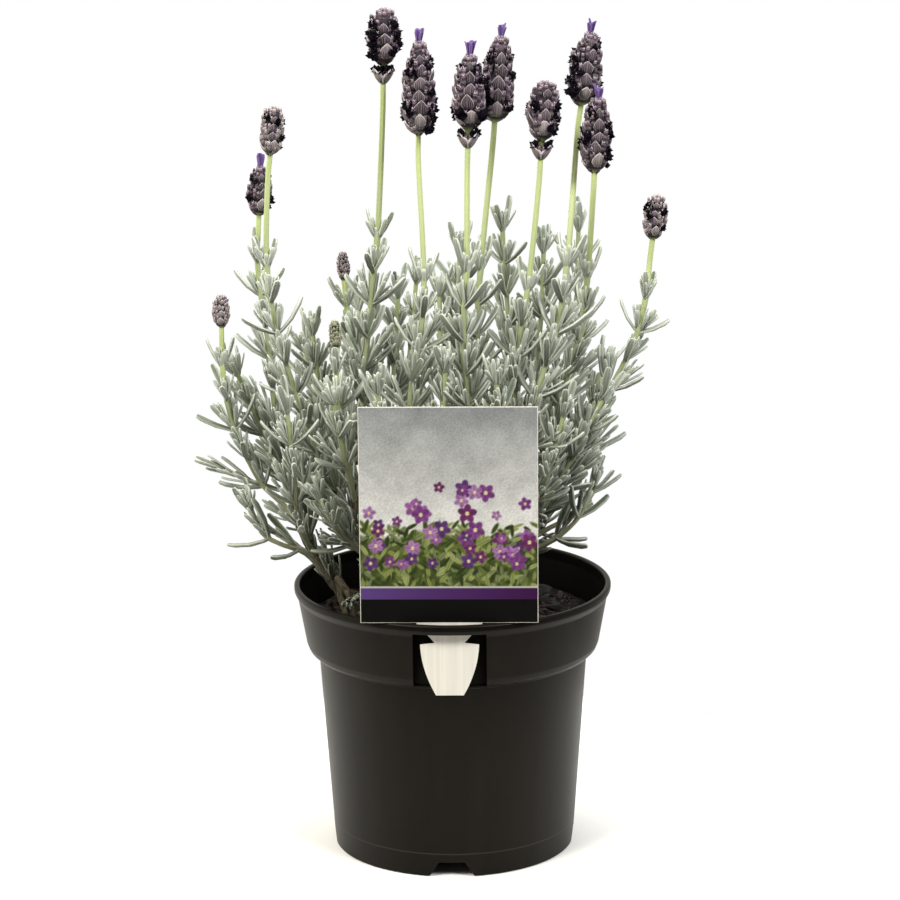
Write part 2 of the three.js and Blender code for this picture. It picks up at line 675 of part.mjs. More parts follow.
// A square stem with a leaf drawn out of each seat that one grows from.
function leafyStemGeometry(plan, leaves) {
  const skin = new Skin();
  const rings = sectionDistances(plan).map(
    (distance) => skin.ring(sectionAt(plan.route, distance, plan.section)),
  );
  rings.slice(1).forEach((high, k) => {
    const low = rings[k];
    for (let face = 0; face < SHOOT.sides; face += 1) {
      const next = (face + 1) % SHOOT.sides;
      const seat = [low[face], low[next], high[next], high[face]];
      const grown = leaves.find(({ leaf, pair }) => leaf.face === face && 2 * pair + 1 === k);
      if (grown) {
        const blade = leafRings(grown.leaf).map((ring) => skin.ring(ring));
        [seat, ...blade.slice(0, -1)].forEach((ring, step) => skin.join(ring, blade[step]));
      } else {
        skin.quad(...seat);
      }
    }
  });
  skin.cap([...rings[0]].reverse());
  skin.cap(rings[rings.length - 1]);
  return skin.geometry();
}

// ---- flower heads ----

// The lengths of a head's parts, and how its radius swells and narrows on the way up.
function headPlan({ foot, top, radius, tuft }) {
  const height = new THREE.Vector3(...top).distanceTo(new THREE.Vector3(...foot));
  const spike = tuft ? height - TUFT.height : height;
  const whorls = Math.max(2, Math.round(spike / WHORL.height));
  const swell = (level) => radius * Math.sin(Math.PI * (0.17 + 0.7 * (level / spike))) ** 0.6;
  return { height, spike, whorls, swell };
}

// Every second corner of a whorl is drawn in, so that four bracts stand out.
function whorlRing(radius, height, whorl, depth) {
  return circle(radius, height, WHORL.sides).map((point, i) => {
    const reach = (i + whorl) % 2 === 1 ? depth : 1;
    return new THREE.Vector3(point.x * reach, point.y * reach, height);
  });
}

// A spike of overlapping whorls of bracts, four to a whorl and crosswise to the next.
function spikeGeometry(head) {
  const { height, spike, whorls, swell } = headPlan(head);
  const rings = [circle(WHORL.footRadius, 0, WHORL.sides)];
  for (let whorl = 0; whorl < whorls; whorl += 1) {
    const low = spike * (whorl / whorls);
    const high = spike * ((whorl + WHORL.overlap) / whorls);
    const stalk = head.apart && whorl === 1;
    const foothold = stalk ? WHORL.stalk : swell(low) * WHORL.hollow;
    if (whorl > 0) rings.push(whorlRing(foothold, low, whorl, 1));
    if (stalk) rings.push(whorlRing(WHORL.stalk, low + WHORL.gap, whorl, 1));
    rings.push(whorlRing(swell(high), high, whorl, WHORL.hollow));
  }
  rings.push(circle(TUFT.neck, spike, WHORL.sides));
  if (head.tuft) rings.push(circle(TUFT.flare, height, WHORL.sides));
  return ringsGeometry(rings);
}

// A withered floret, which stands out of a hollow between two bracts.
function floretSolid(head, number, whorl) {
  const { spike, whorls, swell } = headPlan(head);
  const level = spike * ((whorl + 0.7) / whorls);
  const corner = 2 * Math.floor(4 * chance(6, number, whorl)) + ((whorl + 1) % 2);
  const { x, y } = circle(swell(level) * FLORET.reach, level, WHORL.sides)[corner];
  return solidOf(new THREE.OctahedronGeometry(FLORET.radius).translate(x, y, level));
}

function headSolid(head, number) {
  const spike = solidOf(spikeGeometry(head));
  if (head.radius < FLORET.smallestHead) return spike;
  const florets = FLORET.whorls.map((whorl) => floretSolid(head, number, whorl));
  return mainBody(wasm.Manifold.union([spike, ...florets]));
}

function headPlace({ foot, top }) {
  const from = new THREE.Vector3(...foot);
  const way = new THREE.Vector3(...top).sub(from).normalize();
  const turn = new THREE.Quaternion().setFromUnitVectors(new THREE.Vector3(0, 0, 1), way);
  return { from, turn };
}

// ---- the plant ----

function meshOf(name, geometry, color, roughness) {
  const material = new THREE.MeshStandardMaterial({ color, roughness, metalness: 0 });
  const mesh = new THREE.Mesh(geometry, material);
  mesh.name = name;
  return mesh;
}

function headMesh(head, number) {
  const { from, turn } = headPlace(head);
  const mesh = meshOf(`flower_head_${number}`, geometryOf(headSolid(head, number)), COLORS.head, 0.9);
  mesh.position.copy(from);
  mesh.quaternion.copy(turn);
  mesh.updateMatrix();
  return mesh;
}

function buildPlant() {
  const plant = new THREE.Group();
  plant.name = 'potted_lavender';
  const pot = potSolid();
  const soil = soilSolid();
  const label = labelSolid();
  const wood = woodSolid(0);
  const swollenWood = woodSolid(GAP + 0.15);
  plant.add(meshOf('pot', geometryOf(pot), COLORS.pot, 0.5));
  plant.add(meshOf('soil', geometryOf(soil), COLORS.soil, 1));
  plant.add(meshOf('label', geometryOf(label), COLORS.label, 0.4));
  plant.add(meshOf('woody_base', geometryOf(wood), COLORS.wood, 0.9));

  const heads = HEADS.map((head, k) => headMesh(head, k + 1));
  heads.forEach((mesh) => plant.add(mesh));
  const headSolids = heads.map((mesh) => solidOf(mesh.geometry.clone().applyMatrix4(mesh.matrix)));

  const plans = SHOOTS.map(shootPlan);
  const stems = plans.map((plan) => obstacle(solidOf(leafyStemGeometry(plan, []))));
  const fixed = [pot, soil, label, wood, ...headSolids].map(obstacle);
  const grown = [];
  plans.forEach((plan) => {
    const otherStems = stems.filter((_, k) => k !== plan.number);
    const leaves = clearLeaves(plan, [...fixed, ...otherStems, ...grown]);
    grown.push(...leaves);
    const leafyStem = mainBody(solidOf(leafyStemGeometry(plan, leaves)).subtract(swollenWood));
    plant.add(meshOf(`leafy_stem_${plan.number + 1}`, geometryOf(leafyStem), COLORS.shoot, 0.85));
  });
  return plant;
}

export default buildPlant();
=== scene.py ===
"""A French lavender in a black nursery pot, with a picture label clipped into the rim.

Sizes are millimetres unless a name says otherwise, and MM turns them into metres. Each
piece of the plant is raised on the same routes and by the same rules as the solid that it
stands for, with finer leaves, bracts, bark and soil.
"""

import json
import math
from functools import partial

import bpy
import numpy as np
from mathutils import Matrix, Vector, noise
from mathutils.kdtree import KDTree

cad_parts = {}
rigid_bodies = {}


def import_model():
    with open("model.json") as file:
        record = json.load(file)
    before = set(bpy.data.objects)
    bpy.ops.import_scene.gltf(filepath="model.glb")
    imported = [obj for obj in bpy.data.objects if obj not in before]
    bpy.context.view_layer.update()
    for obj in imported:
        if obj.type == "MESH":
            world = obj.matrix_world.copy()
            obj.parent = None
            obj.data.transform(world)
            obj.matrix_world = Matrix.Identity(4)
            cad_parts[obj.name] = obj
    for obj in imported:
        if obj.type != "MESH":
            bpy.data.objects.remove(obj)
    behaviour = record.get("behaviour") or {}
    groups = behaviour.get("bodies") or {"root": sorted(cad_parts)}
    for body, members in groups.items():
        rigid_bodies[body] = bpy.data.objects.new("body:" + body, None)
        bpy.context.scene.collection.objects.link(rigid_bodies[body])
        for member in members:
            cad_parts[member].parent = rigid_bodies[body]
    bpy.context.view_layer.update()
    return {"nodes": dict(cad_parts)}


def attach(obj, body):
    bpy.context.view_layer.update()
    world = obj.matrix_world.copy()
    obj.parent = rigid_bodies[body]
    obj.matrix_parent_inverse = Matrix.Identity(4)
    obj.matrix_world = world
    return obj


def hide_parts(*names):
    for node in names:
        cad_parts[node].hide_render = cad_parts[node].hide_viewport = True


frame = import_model()

MM = 0.001
GAP = 0.3
DEGREE = math.pi / 180

# ---- the camera, in the photograph's frame ----

CAMERA_TURN = 1.3 * DEGREE
CAMERA_REACH = 2202
CAMERA_HEIGHT = 809
CAMERA_AIM = (-0.9, 0, 255)
CAMERA_ROLL = -0.008  # radians
CAMERA_LENS = 145.04
CAMERA_SENSOR = 36

# ---- the pot ----

POT_HEIGHT = 170
RIM_RADIUS = 100
BASE_RADIUS = 76
WALL = 1.4
FOOT_RADIUS = 44
FOOT_SLOPE = 2.5
CHANNEL_HEIGHT = 10
FLOOR = 1.6
SHOULDER_HEIGHT = 125.4
SHOULDER_RADIUS = 84.8
COLLAR_HEIGHT = 133
COLLAR_RADIUS = 92.5
BEAD_HEIGHT = 163.8
BEAD_INNER = 96.4
POT_SIDES = 180
DRAIN_HOLES = 8
DRAIN_RADIUS = 5.5
DRAIN_SIDES = 28
DRAIN_CIRCLE = 61
NOTCHES = 4
NOTCH_WIDE = 28
NOTCH_NARROW = 16
NOTCH_HEIGHT = 9.4
NOTCH_INNER = 68
NOTCH_OUTER = 80
WINDOW_HALF = 22.5
WINDOW_CHEEK = 1.5
WINDOW_BACK = 88
WINDOW_LOW = 128
WINDOW_SLICES = 41
SCRIBED_LINE = 15  # its height on the wall

# ---- the soil and the label ----

SOIL_SURFACE = 146
SOIL_LUMP = 3

LABEL_FRONT = -93.2
LABEL_THICKNESS = 0.8
CARD_HALF = 54
CARD_TOP = 305
FOLD_HALF = 20
FOLD_LOW = 167.4
NECK_HALF = 14.5
NECK_LOW = 163.6
WAIST_HALF = 9
WAIST_HEIGHT = 157.4
BARB_HALF = 18
BARB_HEIGHT = 156.4
TONGUE_HALF = 8.5
TONGUE_LOW = 124

# ---- the plant ----

CROWN = (-10, 0)
CROWN_LOW = 126
CROWN_HIGH = 160
CROWN_RADIUS = (9, 7.5)
BRANCH_RADIUS = (4.2, 2.7)
TRUNK_SIDES = 16
BRANCH_SIDES = 12
BARK_VOXEL = 0.9

BRANCHES = {
    "farLeft": [(-13, -2, 157), (-42, -12, 160), (-70, -20, 170), (-84, -16, 188), (-96, -9, 209)],
    "left": [(-12, 2, 157), (-40, 8, 170), (-62, 10, 196), (-76, 6, 222)],
    "leftFront": [(-12, -3, 157), (-36, -22, 174), (-54, -30, 205), (-61, -31, 240)],
    "leftMiddle": [(-11, 0, 158), (-28, 0, 190), (-44, -2, 228), (-52, -2, 258)],
    "front": [(-10, -3, 158), (-14, -20, 190), (-20, -34, 232), (-24, -40, 266)],
    "middle": [(-9, 0, 158), (0, -10, 192), (8, -24, 230), (12, -40, 262)],
    "rightFront": [(-8, -2, 158), (12, -14, 188), (28, -22, 228), (37, -28, 264)],
    "right": [(-8, 0, 157), (22, -6, 174), (44, -10, 196), (58, -12, 222)],
    "rightBack": [(-8, 2, 157), (16, 16, 184), (38, 32, 222), (46, 42, 262)],
    "leftBack": [(-11, 3, 157), (-24, 26, 182), (-40, 44, 218), (-50, 54, 250)],
    "back": [(-10, 4, 157), (-8, 28, 184), (-2, 50, 222), (2, 58, 252)],
}

# Low shoots that have rooted in the soil in front on the left.
ROOTED = [
    [(-72, -21, 171), (-67, -27, 160), (-64, -31, 142)],
    [(-72, -26, 180), (-64, -36, 172), (-60, -41, 160), (-57, -42, 151), (-60, -44, 140)],
]
ROOTED_RADIUS = (2.3, 2.6)

# Flower heads: foot, top, radius, whether the lowest whorl stands apart, and the tuft.
HEADS = [
    ((-40, 0, 486), (-39, 0, 530), 10.5, True, False),
    ((-18, -25, 458.5), (-17, -25, 523.5), 10.8, False, True),
    ((12, -30, 451), (14, -30, 516), 10.8, True, True),
    ((28, 0, 462), (33, 0, 523), 11, False, True),
    ((56, -20, 442), (59, -20, 488), 10.5, True, False),
    ((81, 12, 470.5), (88, 12, 523.5), 11, False, True),
    ((89, -12, 433), (92, -12, 487), 10.2, False, True),
    ((125, 0, 389), (128, 0, 415), 7.7, False, False),
    ((-109, -14, 445), (-106, -14, 473), 7.7, False, False),
    ((-119, 18, 402), (-117, 18, 441), 8.6, False, True),
    ((-142, -5, 335.5), (-142, -5, 354.5), 5.8, False, False),
    ((-67, 27, 358.5), (-68, 27, 375.5), 4.2, False, False),
    ((-69, -40, 330), (-70, -40, 346), 4.2, False, False),
]

# Leafy shoots: the branch, the share of the way along it, the number of the flower head
# that ends the shoot or 0, and the points of its route.
SHOOTS = [
    ("farLeft", 1, 11, [(-105, -1, 219), (-119, 0, 233), (-129, -2, 253), (-138, -4, 279), (-142, -6, 312)]),
    ("left", 1, 9, [(-80, -4, 240), (-88, -14, 272), (-98, -20, 303), (-108, -20, 344), (-112, -19, 378)]),
    ("left", 0.82, 10, [(-92, 16, 230), (-111, 24, 270), (-114, 25, 307), (-119, 25, 346), (-121, 24, 372)]),
    ("leftMiddle", 1, 1, [(-55, -3, 288), (-51, -5, 330), (-47, -5, 370), (-44.5, -4, 392)]),
    ("front", 1, 2, [(-24, -45, 300), (-17, -45, 340), (-15, -42, 372)]),
    ("middle", 1, 3, [(11, -50, 298), (9, -50, 340), (11, -46, 378)]),
    ("middle", 0.72, 4, [(12, -14, 268), (16, -8, 327), (19, -9, 372)]),
    ("rightFront", 1, 5, [(40, -30, 300), (44, -30, 341), (48, -28, 363)]),
    ("rightFront", 0.86, 6, [(45, -36, 272), (55, -35, 305), (66, -30, 340), (72, -25, 378)]),
    ("right", 0.9, 7, [(60, -2, 244), (68, 2, 287), (81, 1, 330), (85, 0, 366)]),
    ("right", 1, 8, [(68, -9, 232), (86, -6, 262), (98, -5, 293), (114, -5, 325), (121, -5, 354)]),
    ("leftFront", 1, 13, [(-64, -36, 264), (-68, -40, 297), (-69, -40, 314)]),
    ("left", 0.92, 12, [(-66, 22, 248), (-58, 29, 285), (-63, 30, 322), (-66, 29, 342)]),
    ("farLeft", 0.82, 0, [(-92, 2, 214), (-103, 9, 236), (-119, 11, 265), (-134, 10, 302)]),
    ("farLeft", 0.68, 0, [(-92, -26, 196), (-106, -32, 203), (-117, -33, 210), (-124, -33, 226)]),
    ("farLeft", 0.8, 0, [(-94, -30, 214), (-96, -43, 250), (-99, -50, 292)]),
    ("leftFront", 0.9, 0, [(-62, -42, 248), (-67, -50, 274), (-70, -52, 298)]),
    ("leftFront", 0.5, 0, [(-61, -40, 205), (-72, -50, 221), (-80, -57, 240)]),
    ("left", 0.72, 0, [(-76, 24, 234), (-84, 34, 282), (-88, 37, 322)]),
    ("leftMiddle", 0.82, 0, [(-40, 10, 262), (-36, 16, 305), (-33, 18, 350)]),
    ("front", 0.86, 0, [(-34, -50, 262), (-39, -61, 284), (-43, -69, 308)]),
    ("front", 0.72, 0, [(-8, -44, 252), (-3, -54, 286), (-2, -60, 320)]),
    ("middle", 0.55, 0, [(-2, -2, 238), (-6, 6, 290), (-7, 12, 352)]),
    ("rightFront", 0.74, 0, [(30, -42, 250), (31, -54, 282), (29, -60, 312)]),
    ("right", 0.84, 0, [(62, -25, 232), (79, -27, 262), (94, -26, 294)]),
    ("right", 0.76, 0, [(51, -30, 224), (61, -44, 254), (70, -51, 290)]),
    ("right", 0.62, 0, [(57, -19, 198), (76, -25, 214), (90, -27, 238)]),
    ("right", 0.7, 0, [(60, 2, 203), (76, 6, 211), (88, 8, 226)]),
    ("rightBack", 1, 0, [(53, 42, 296), (57, 40, 340), (58, 40, 374)]),
    ("rightBack", 0.86, 0, [(62, 42, 270), (77, 41, 322), (80, 40, 388)]),
    ("rightBack", 0.68, 0, [(60, 44, 232), (82, 52, 260), (96, 56, 294)]),
    ("rightBack", 0.92, 0, [(38, 52, 284), (35, 60, 334), (32, 61, 384)]),
    ("leftBack", 1, 0, [(-55, 60, 282), (-60, 65, 332)]),
    ("leftBack", 0.8, 0, [(-64, 58, 240), (-84, 65, 268), (-95, 68, 304)]),
    ("leftBack", 0.9, 0, [(-36, 56, 268), (-27, 60, 308), (-23, 61, 350)]),
    ("leftBack", 0.62, 0, [(-54, 58, 208), (-70, 74, 224), (-82, 84, 248)]),
    ("back", 1, 0, [(2, 65, 288), (3, 69, 330), (5, 70, 368)]),
    ("back", 0.8, 0, [(16, 64, 250), (32, 78, 278), (40, 85, 310)]),
    ("back", 0.62, 0, [(-12, 66, 222), (-24, 86, 248), (-30, 93, 276)]),
]

SHOOT_RADIUS = (2.3, 1.7)
STALK_RADIUS = 2.1
STALK_NECK = 14

LEAF_SPACING = 20.5
LEAF_FIRST = 16
LEAF_LENGTH = 30
LEAF_HALF = 2.3
ROOT_ANGLE = 60
TIP_ANGLE = 26
TOP_ROOT_ANGLE = 28
TOP_TIP_ANGLE = 8
LEAF_SWAY = 24
LEAF_SPREAD = 14

# How a leaf is bent clear of its neighbours: turn, lift and share of the length.
BENDS = [
    (0, 0, 1), (22, 0, 1), (-22, 0, 1), (0, 16, 1),
    (30, 14, 0.9), (-30, 14, 0.9), (0, -16, 0.85), (0, 26, 0.75),
]

# ---- leaves and shoots ----

# A leaf's section, anticlockwise from its right margin, in shares of its half width, and how
# pale each point is: the margins are rolled under, the top has a groove and the underside a
# midrib. The low paleness of the groove and of the underside is painted shade.
LEAF_SECTION = [
    (1, 0, 1), (0.6, 0.34, 0.5), (0, 0, 0), (-0.6, 0.34, 0.5), (-1, 0, 1),
    (-0.75, -0.46, 0.56), (-0.36, -0.16, 0.2), (0, -0.42, 0.56), (0.36, -0.16, 0.2), (0.75, -0.46, 0.56),
]
LITTLE_SECTION = [
    (1, 0, 1), (0.5, 0.3, 0.4), (-0.5, 0.3, 0.4), (-1, 0, 1), (-0.6, -0.42, 0.55), (0.6, -0.42, 0.55),
]
TWIG_SECTION = [(1, 0, 0.9), (0, 1, 0.8), (-1, 0, 0.9), (0, -1, 0.8)]

# The share of a leaf's length and the share of its width there.
LONG_LEAF = [(0, 0.5), (0.14, 0.7), (0.45, 0.92), (0.82, 1), (0.965, 0.72)]
LITTLE_LEAF = [(0, 0.46), (0.3, 0.82), (0.8, 1), (0.955, 0.72)]
TWIG = [(0, 1), (0.5, 0.8), (0.98, 0.5)]

LEAF_DEPTH = 1.35  # times the section's own
LITTLE_BEND = 16
TWIG_WIDTH = 15  # of its shape, which makes it 2.3 mm thick
BLADE, TOP_BLADE, LITTLE_BLADE, TWIG_SHAPE = range(4)

SIDE_LEAF_SPACING = 12
TIP_MATCH = 0.3  # how near a leaf's tip is to a point of its solid
LEAF_ROLL = 1.3  # radians, from the most to one side to the most to the other
TIP_LEAVES = 8

# Low side shoots on the wood: how many there are on each branch and where they start.
LOW_SHOOTS = 9
LOW_START = 0.3
LOW_SHOOT_TURN = 137  # degrees from one to the next

# Where the lower edge of the young leaves starts to rise outwards: x, height and slope.
CROWN_EDGES = ((69, 197, 2.0), (-91, 189, -0.8))

STEM_SIDES = 12
STEM_STEP = 4
STEM_FULLNESSES = (0.85, 0.72, 0.84, 0.86)  # at the foot, above it, below the stalk and in it
STALK_FADE = 34  # over which a stem turns from downy to bare

# ---- flower heads ----

# How full a flower head is on the way up it, with and without a tuft on top.
HEAD_SHARES = (0, 0.05, 0.15, 0.4, 0.7, 0.88, 1)
TUFTED_HEAD = (0.4, 0.74, 0.93, 1, 0.86, 0.58, 0.24)
BLUNT_HEAD = (0.4, 0.74, 0.93, 1, 0.96, 0.86, 0.5)
FULL_HEAD = 11  # the radius of a full-grown head
PALE_HEAD = 8  # heads below this radius have paler bracts
CLOSED_HEAD = 6  # heads below this radius have no florets
WHORL_STEP = 0.36  # of a head's radius
TUFT_HEIGHT = 10
APART_HEIGHT = 12  # of the lowest whorl, where it stands apart
CORE_FULLNESS = 0.7
CORE_RINGS = 17
CORE_SIDES = 12
CORE_RADIUS = 2  # at the least

# The share of the height and the share of the width there.
BRACT_WIDTHS = ((0, 0.4), (0.3, 0.94), (0.58, 0.94), (0.84, 0.5))
PETAL_WIDTHS = ((0, 0.1), (0.35, 0.17), (0.75, 0.24), (0.95, 0.16))

# The height, the radius and the paleness of each ring of a calyx, the last one in its mouth.
CALYX_RINGS = ((0, 0.1, 0.3), (0.35, 0.2, 0.3), (0.78, 0.21, 0.5), (1, 0.13, 1), (0.85, 0.08, 0.3))
CALYX_SIDES = 8

FLORET_LOBES = 5
FLORET_SIZE = 6.2
SPIN = 6.28  # radians, a whole turn
FLORET_PATCHES = ((7.7, 8.6, 10), (0.2, 0.36, 0.46))  # heads' radii, and how much bears florets
TUFT_PETALS = 5
TOP_CALYCES = 14
TOP_CALYX_TURN = 83  # degrees from one to the next
TALLEST_HEAD = 1

# The finish that takes the place of others on a head: the two with grey, woolly calyces
# between brown bracts, the two that are not yet open, and the green bud.
OTHER_FINISHES = {
    8: ("low_bracts", ("calyces",)),
    9: ("low_bracts", ("calyces",)),
    11: ("low_bracts", ("bracts", "calyces")),
    12: ("low_bracts", ("bracts", "calyces")),
    13: ("green", ("bracts", "calyces", "low_bracts")),
}

# ---- potting mix ----

SOIL_SIDES = 120
SOIL_RINGS = 46
CHIPS = 2600
CHIP_SHAPES = 4
CHIP_SIDES = 6
# The share of a chip's length and its radius there.
CHIP_RINGS = ((-0.5, 0.3), (-0.2, 0.5), (0.25, 0.46), (0.5, 0.24))

# ---- the label's print and the floor ----

PRINT_STEP = 0.55
PRINT_EDGE = 0.4  # white border at the sides and the top of the print
PRINT_LOW = POT_HEIGHT + GAP + 0.3
PRINT_FOOT = 185
PRINT_STRIPE = 193
PRINT_BLOOM = 206
PRINT_SKY = 215
PRINT_MEADOW = 222
PRINT_TIPS = 232
PRINT_LEAVES = 420
PRINT_BLOSSOMS = 46
BLOSSOM_PETALS = 5
LEAF_INKS = ((96, 108, 52), (62, 76, 34), (128, 138, 78), (148, 156, 98), (50, 60, 30), (112, 122, 84))
PETAL_INKS = ((122, 66, 128), (150, 92, 156), (92, 56, 112), (168, 120, 170), (110, 50, 100))

FLOOR_RADIUS = 300
FLOOR_SIDES = 96

# ---- finishes ----

# The real sizes of the patterns in millimetres, one for all directions or one along each axis.
DUST_CLOUDS = 71.4
FLOW_LINES = (16.7, 16.7, 167)  # in the moulded wall
PLASTIC_GRAIN = 1.11  # drawn coarser than the mould's own grain, so that it shows
SHEET_STREAKS = (2.38, 2.38, 200)
SOIL_CRUMBS = 2.38
CHIP_FIBRES = 1.43
BARK_FIBRES = (1.43, 1.43, 11.1)
STEM_DOWN = (0.667, 0.667, 11.1)  # drawn coarser than real hairs, so that it shows
LEAF_FELT = 0.714  # drawn coarser than real hairs, so that it shows
BRACT_WOOL = 0.769  # drawn coarser than real hairs, so that it shows
BRACT_FLUSH = 5.88  # violet patches
BRACT_SPAN = 8.8  # the width of a bract on a full-grown head
BRACT_VEINS = 1.26  # from one vein to the next, on a bract of that width

# ---- nodes ----

# Kinds of nodes in plain words: the node's own type, the output that is taken, or None for all
# of them, and the inputs that values go to in turn.
NODE_KINDS = {
    "group inputs": ("NodeGroupInput", None),
    "group output": ("NodeGroupOutput", None, "Geometry"),
    "collection": (
        "GeometryNodeCollectionInfo", "Instances", "Collection", "Separate Children", "Reset Children",
    ),
    "point value": ("GeometryNodeInputNamedAttribute", "Attribute", "Name"),
    "scaled": ("ShaderNodeVectorMath", "Vector", 0, "Scale"),
    "copies": (
        "GeometryNodeInstanceOnPoints", "Instances",
        "Points", "Instance", "Pick Instance", "Instance Index", "Rotation", "Scale",
    ),
    "real mesh": ("GeometryNodeRealizeInstances", "Geometry", "Geometry"),
    "finished mesh": ("GeometryNodeSetMaterial", "Geometry", "Geometry", "Material"),
    "place": ("ShaderNodeTexCoord", "Object"),
    "direction": ("ShaderNodeTexCoord", "Generated"),
    "axes": ("ShaderNodeSeparateXYZ", None, "Vector"),
    "stretch": ("ShaderNodeMapping", "Vector", "Vector", "Scale"),
    "attribute": ("ShaderNodeAttribute", "Fac"),
    "colour attribute": ("ShaderNodeAttribute", "Color"),
    "noise": ("ShaderNodeTexNoise", "Fac", "Vector", "Scale", "Detail"),
    "range": ("ShaderNodeMapRange", "Result", "Value", "From Min", "From Max", "To Min", "To Max"),
    "math": ("ShaderNodeMath", "Value", 0, 1),
    "product": ("ShaderNodeMath", "Value", 0, 1),
    "mix": ("ShaderNodeMix", 2, 0, 6, 7),
    "ramp": ("ShaderNodeValToRGB", "Color", "Fac"),
    "bump": ("ShaderNodeBump", "Normal", "Height", "Strength", "Distance"),
    "surface": ("ShaderNodeBsdfPrincipled", "BSDF"),
    "material output": ("ShaderNodeOutputMaterial", None, "Surface"),
    "background": ("ShaderNodeBackground", "Background", "Color", "Strength"),
    "light path": ("ShaderNodeLightPath", "Is Camera Ray"),
    "either": ("ShaderNodeMixShader", "Shader", 0, 1, 2),
    "world output": ("ShaderNodeOutputWorld", None, "Surface"),
}
KIND_SETTINGS = {
    "scaled": {"operation": "SCALE"}, "product": {"operation": "MULTIPLY"}, "mix": {"data_type": "RGBA"},
}
SHADER_INPUTS = {
    "colour": "Base Color", "roughness": "Roughness", "bump": "Normal", "ior": "IOR",
    "gloss": "Specular IOR Level", "gloss_tint": "Specular Tint",
    "coat": "Coat Weight", "coat_roughness": "Coat Roughness",
    "sheen": "Sheen Weight", "sheen_roughness": "Sheen Roughness",
}


# ---- small helpers ----

def chance(*keys):
    """A value from 0 to 1 that is always the same for the same whole numbers."""
    value = 2166136261
    for key in keys:
        value = ((value ^ key) * 16777619) & 0xFFFFFFFF
        value ^= value >> 13
    value = ((value ^ (value >> 15)) * 2246822507) & 0xFFFFFFFF
    value ^= value >> 13
    return value / 4294967296


def off(*keys):
    """A value from -0.5 to 0.5 by chance."""
    return chance(*keys) - 0.5


def unit(vector):
    return vector / np.linalg.norm(vector)


def swung(first, second, angle):
    """The direction at an angle from the first one, towards the second."""
    return first * math.cos(angle) + second * math.sin(angle)


def curved(start, corner, end, share):
    """A point of the curve from start to end that is drawn towards a corner."""
    return (1 - share) ** 2 * start + 2 * share * (1 - share) * corner + share * share * end


def to_linear(values):
    """sRGB values from 0 to 1 as linear light."""
    return np.where(values <= 0.04045, values / 12.92, ((values + 0.055) / 1.055) ** 2.4)


def colour(text):
    """An sRGB hex colour as linear red, green, blue and alpha."""
    return (*to_linear(np.array([int(text[i:i + 2], 16) for i in (1, 3, 5)]) / 255), 1)


def add_node(tree, kind, *values, stops=(), **settings):
    """Adds a node of a kind in NODE_KINDS and gives its output.

    Each input takes a value, a hex colour or the socket that feeds it, in turn or in one dict
    by name. Stops are a ramp's, in order, each a place and a hex colour.
    """
    name, output, *inputs = NODE_KINDS[kind]
    node = tree.nodes.new(name)
    for key, value in {**KIND_SETTINGS.get(kind, {}), **settings}.items():
        setattr(node, key, value)
    for place, _ in stops[1:-1]:
        node.color_ramp.elements.new(place)
    for k, (place, tint) in enumerate(stops):
        node.color_ramp.elements[k].position = place
        node.color_ramp.elements[k].color = colour(tint)
    given = values[0] if values and isinstance(values[0], dict) else dict(zip(inputs, values))
    for key, value in given.items():
        if isinstance(value, bpy.types.NodeSocket):
            tree.links.new(value, node.inputs[key])
        else:
            node.inputs[key].default_value = colour(value) if str(value).startswith("#") else value
    return node.outputs if output is None else node.outputs[output]


def placed(name, data):
    """An object in the scene that holds a mesh, a camera or a light."""
    item = bpy.data.objects.new(name, data)
    bpy.context.scene.collection.objects.link(item)
    return item


def mesh_object(name, points, faces, values=None, finish=None):
    """A mesh object from points in millimetres, with a value at each point for each name."""
    mesh = bpy.data.meshes.new(name)
    mesh.from_pydata([tuple(point) for point in np.asarray(points) * MM], [], faces)
    for key, numbers in (values or {}).items():
        layer = mesh.attributes.new(key, "FLOAT", "POINT")
        layer.data.foreach_set("value", np.asarray(numbers, np.float32))
    if finish:
        mesh.materials.append(finish)
    return placed(name, mesh)


def smooth(piece, angle=40):
    """Shades a piece smooth, apart from edges sharper than an angle."""
    piece.data.shade_smooth()
    piece.data.set_sharp_from_angle(angle=angle * DEGREE)
    return piece


def coated(piece, finish):
    """Gives a piece one finish in place of any that it has."""
    piece.data.materials.clear()
    piece.data.materials.append(finish)
    return piece


def changed(piece, kind, **settings):
    """Applies one modifier to a piece."""
    change = piece.modifiers.new("change", kind)
    for key, value in settings.items():
        setattr(change, key, value)
    return evaluated(piece)


def evaluated(piece):
    """Turns what a piece's modifiers make into its plain mesh, and removes them."""
    depsgraph = bpy.context.evaluated_depsgraph_get()
    mesh = bpy.data.meshes.new_from_object(
        piece.evaluated_get(depsgraph), preserve_all_data_layers=True, depsgraph=depsgraph,
    )
    piece.modifiers.clear()
    piece.data = mesh
    return piece


def cut(piece, tool, operation="DIFFERENCE"):
    """Cuts a tool out of a piece or joins it to the piece, and removes the tool."""
    changed(piece, "BOOLEAN", operation=operation, solver="EXACT", object=tool)
    bpy.data.objects.remove(tool)


def joined(name, pieces):
    """Joins pieces into one, which keeps their materials and point values."""
    bpy.ops.object.select_all(action="DESELECT")
    for piece in pieces:
        piece.select_set(True)
    bpy.context.view_layer.objects.active = pieces[0]
    bpy.ops.object.join()
    pieces[0].name = name
    pieces[0].data.name = name
    return pieces[0]


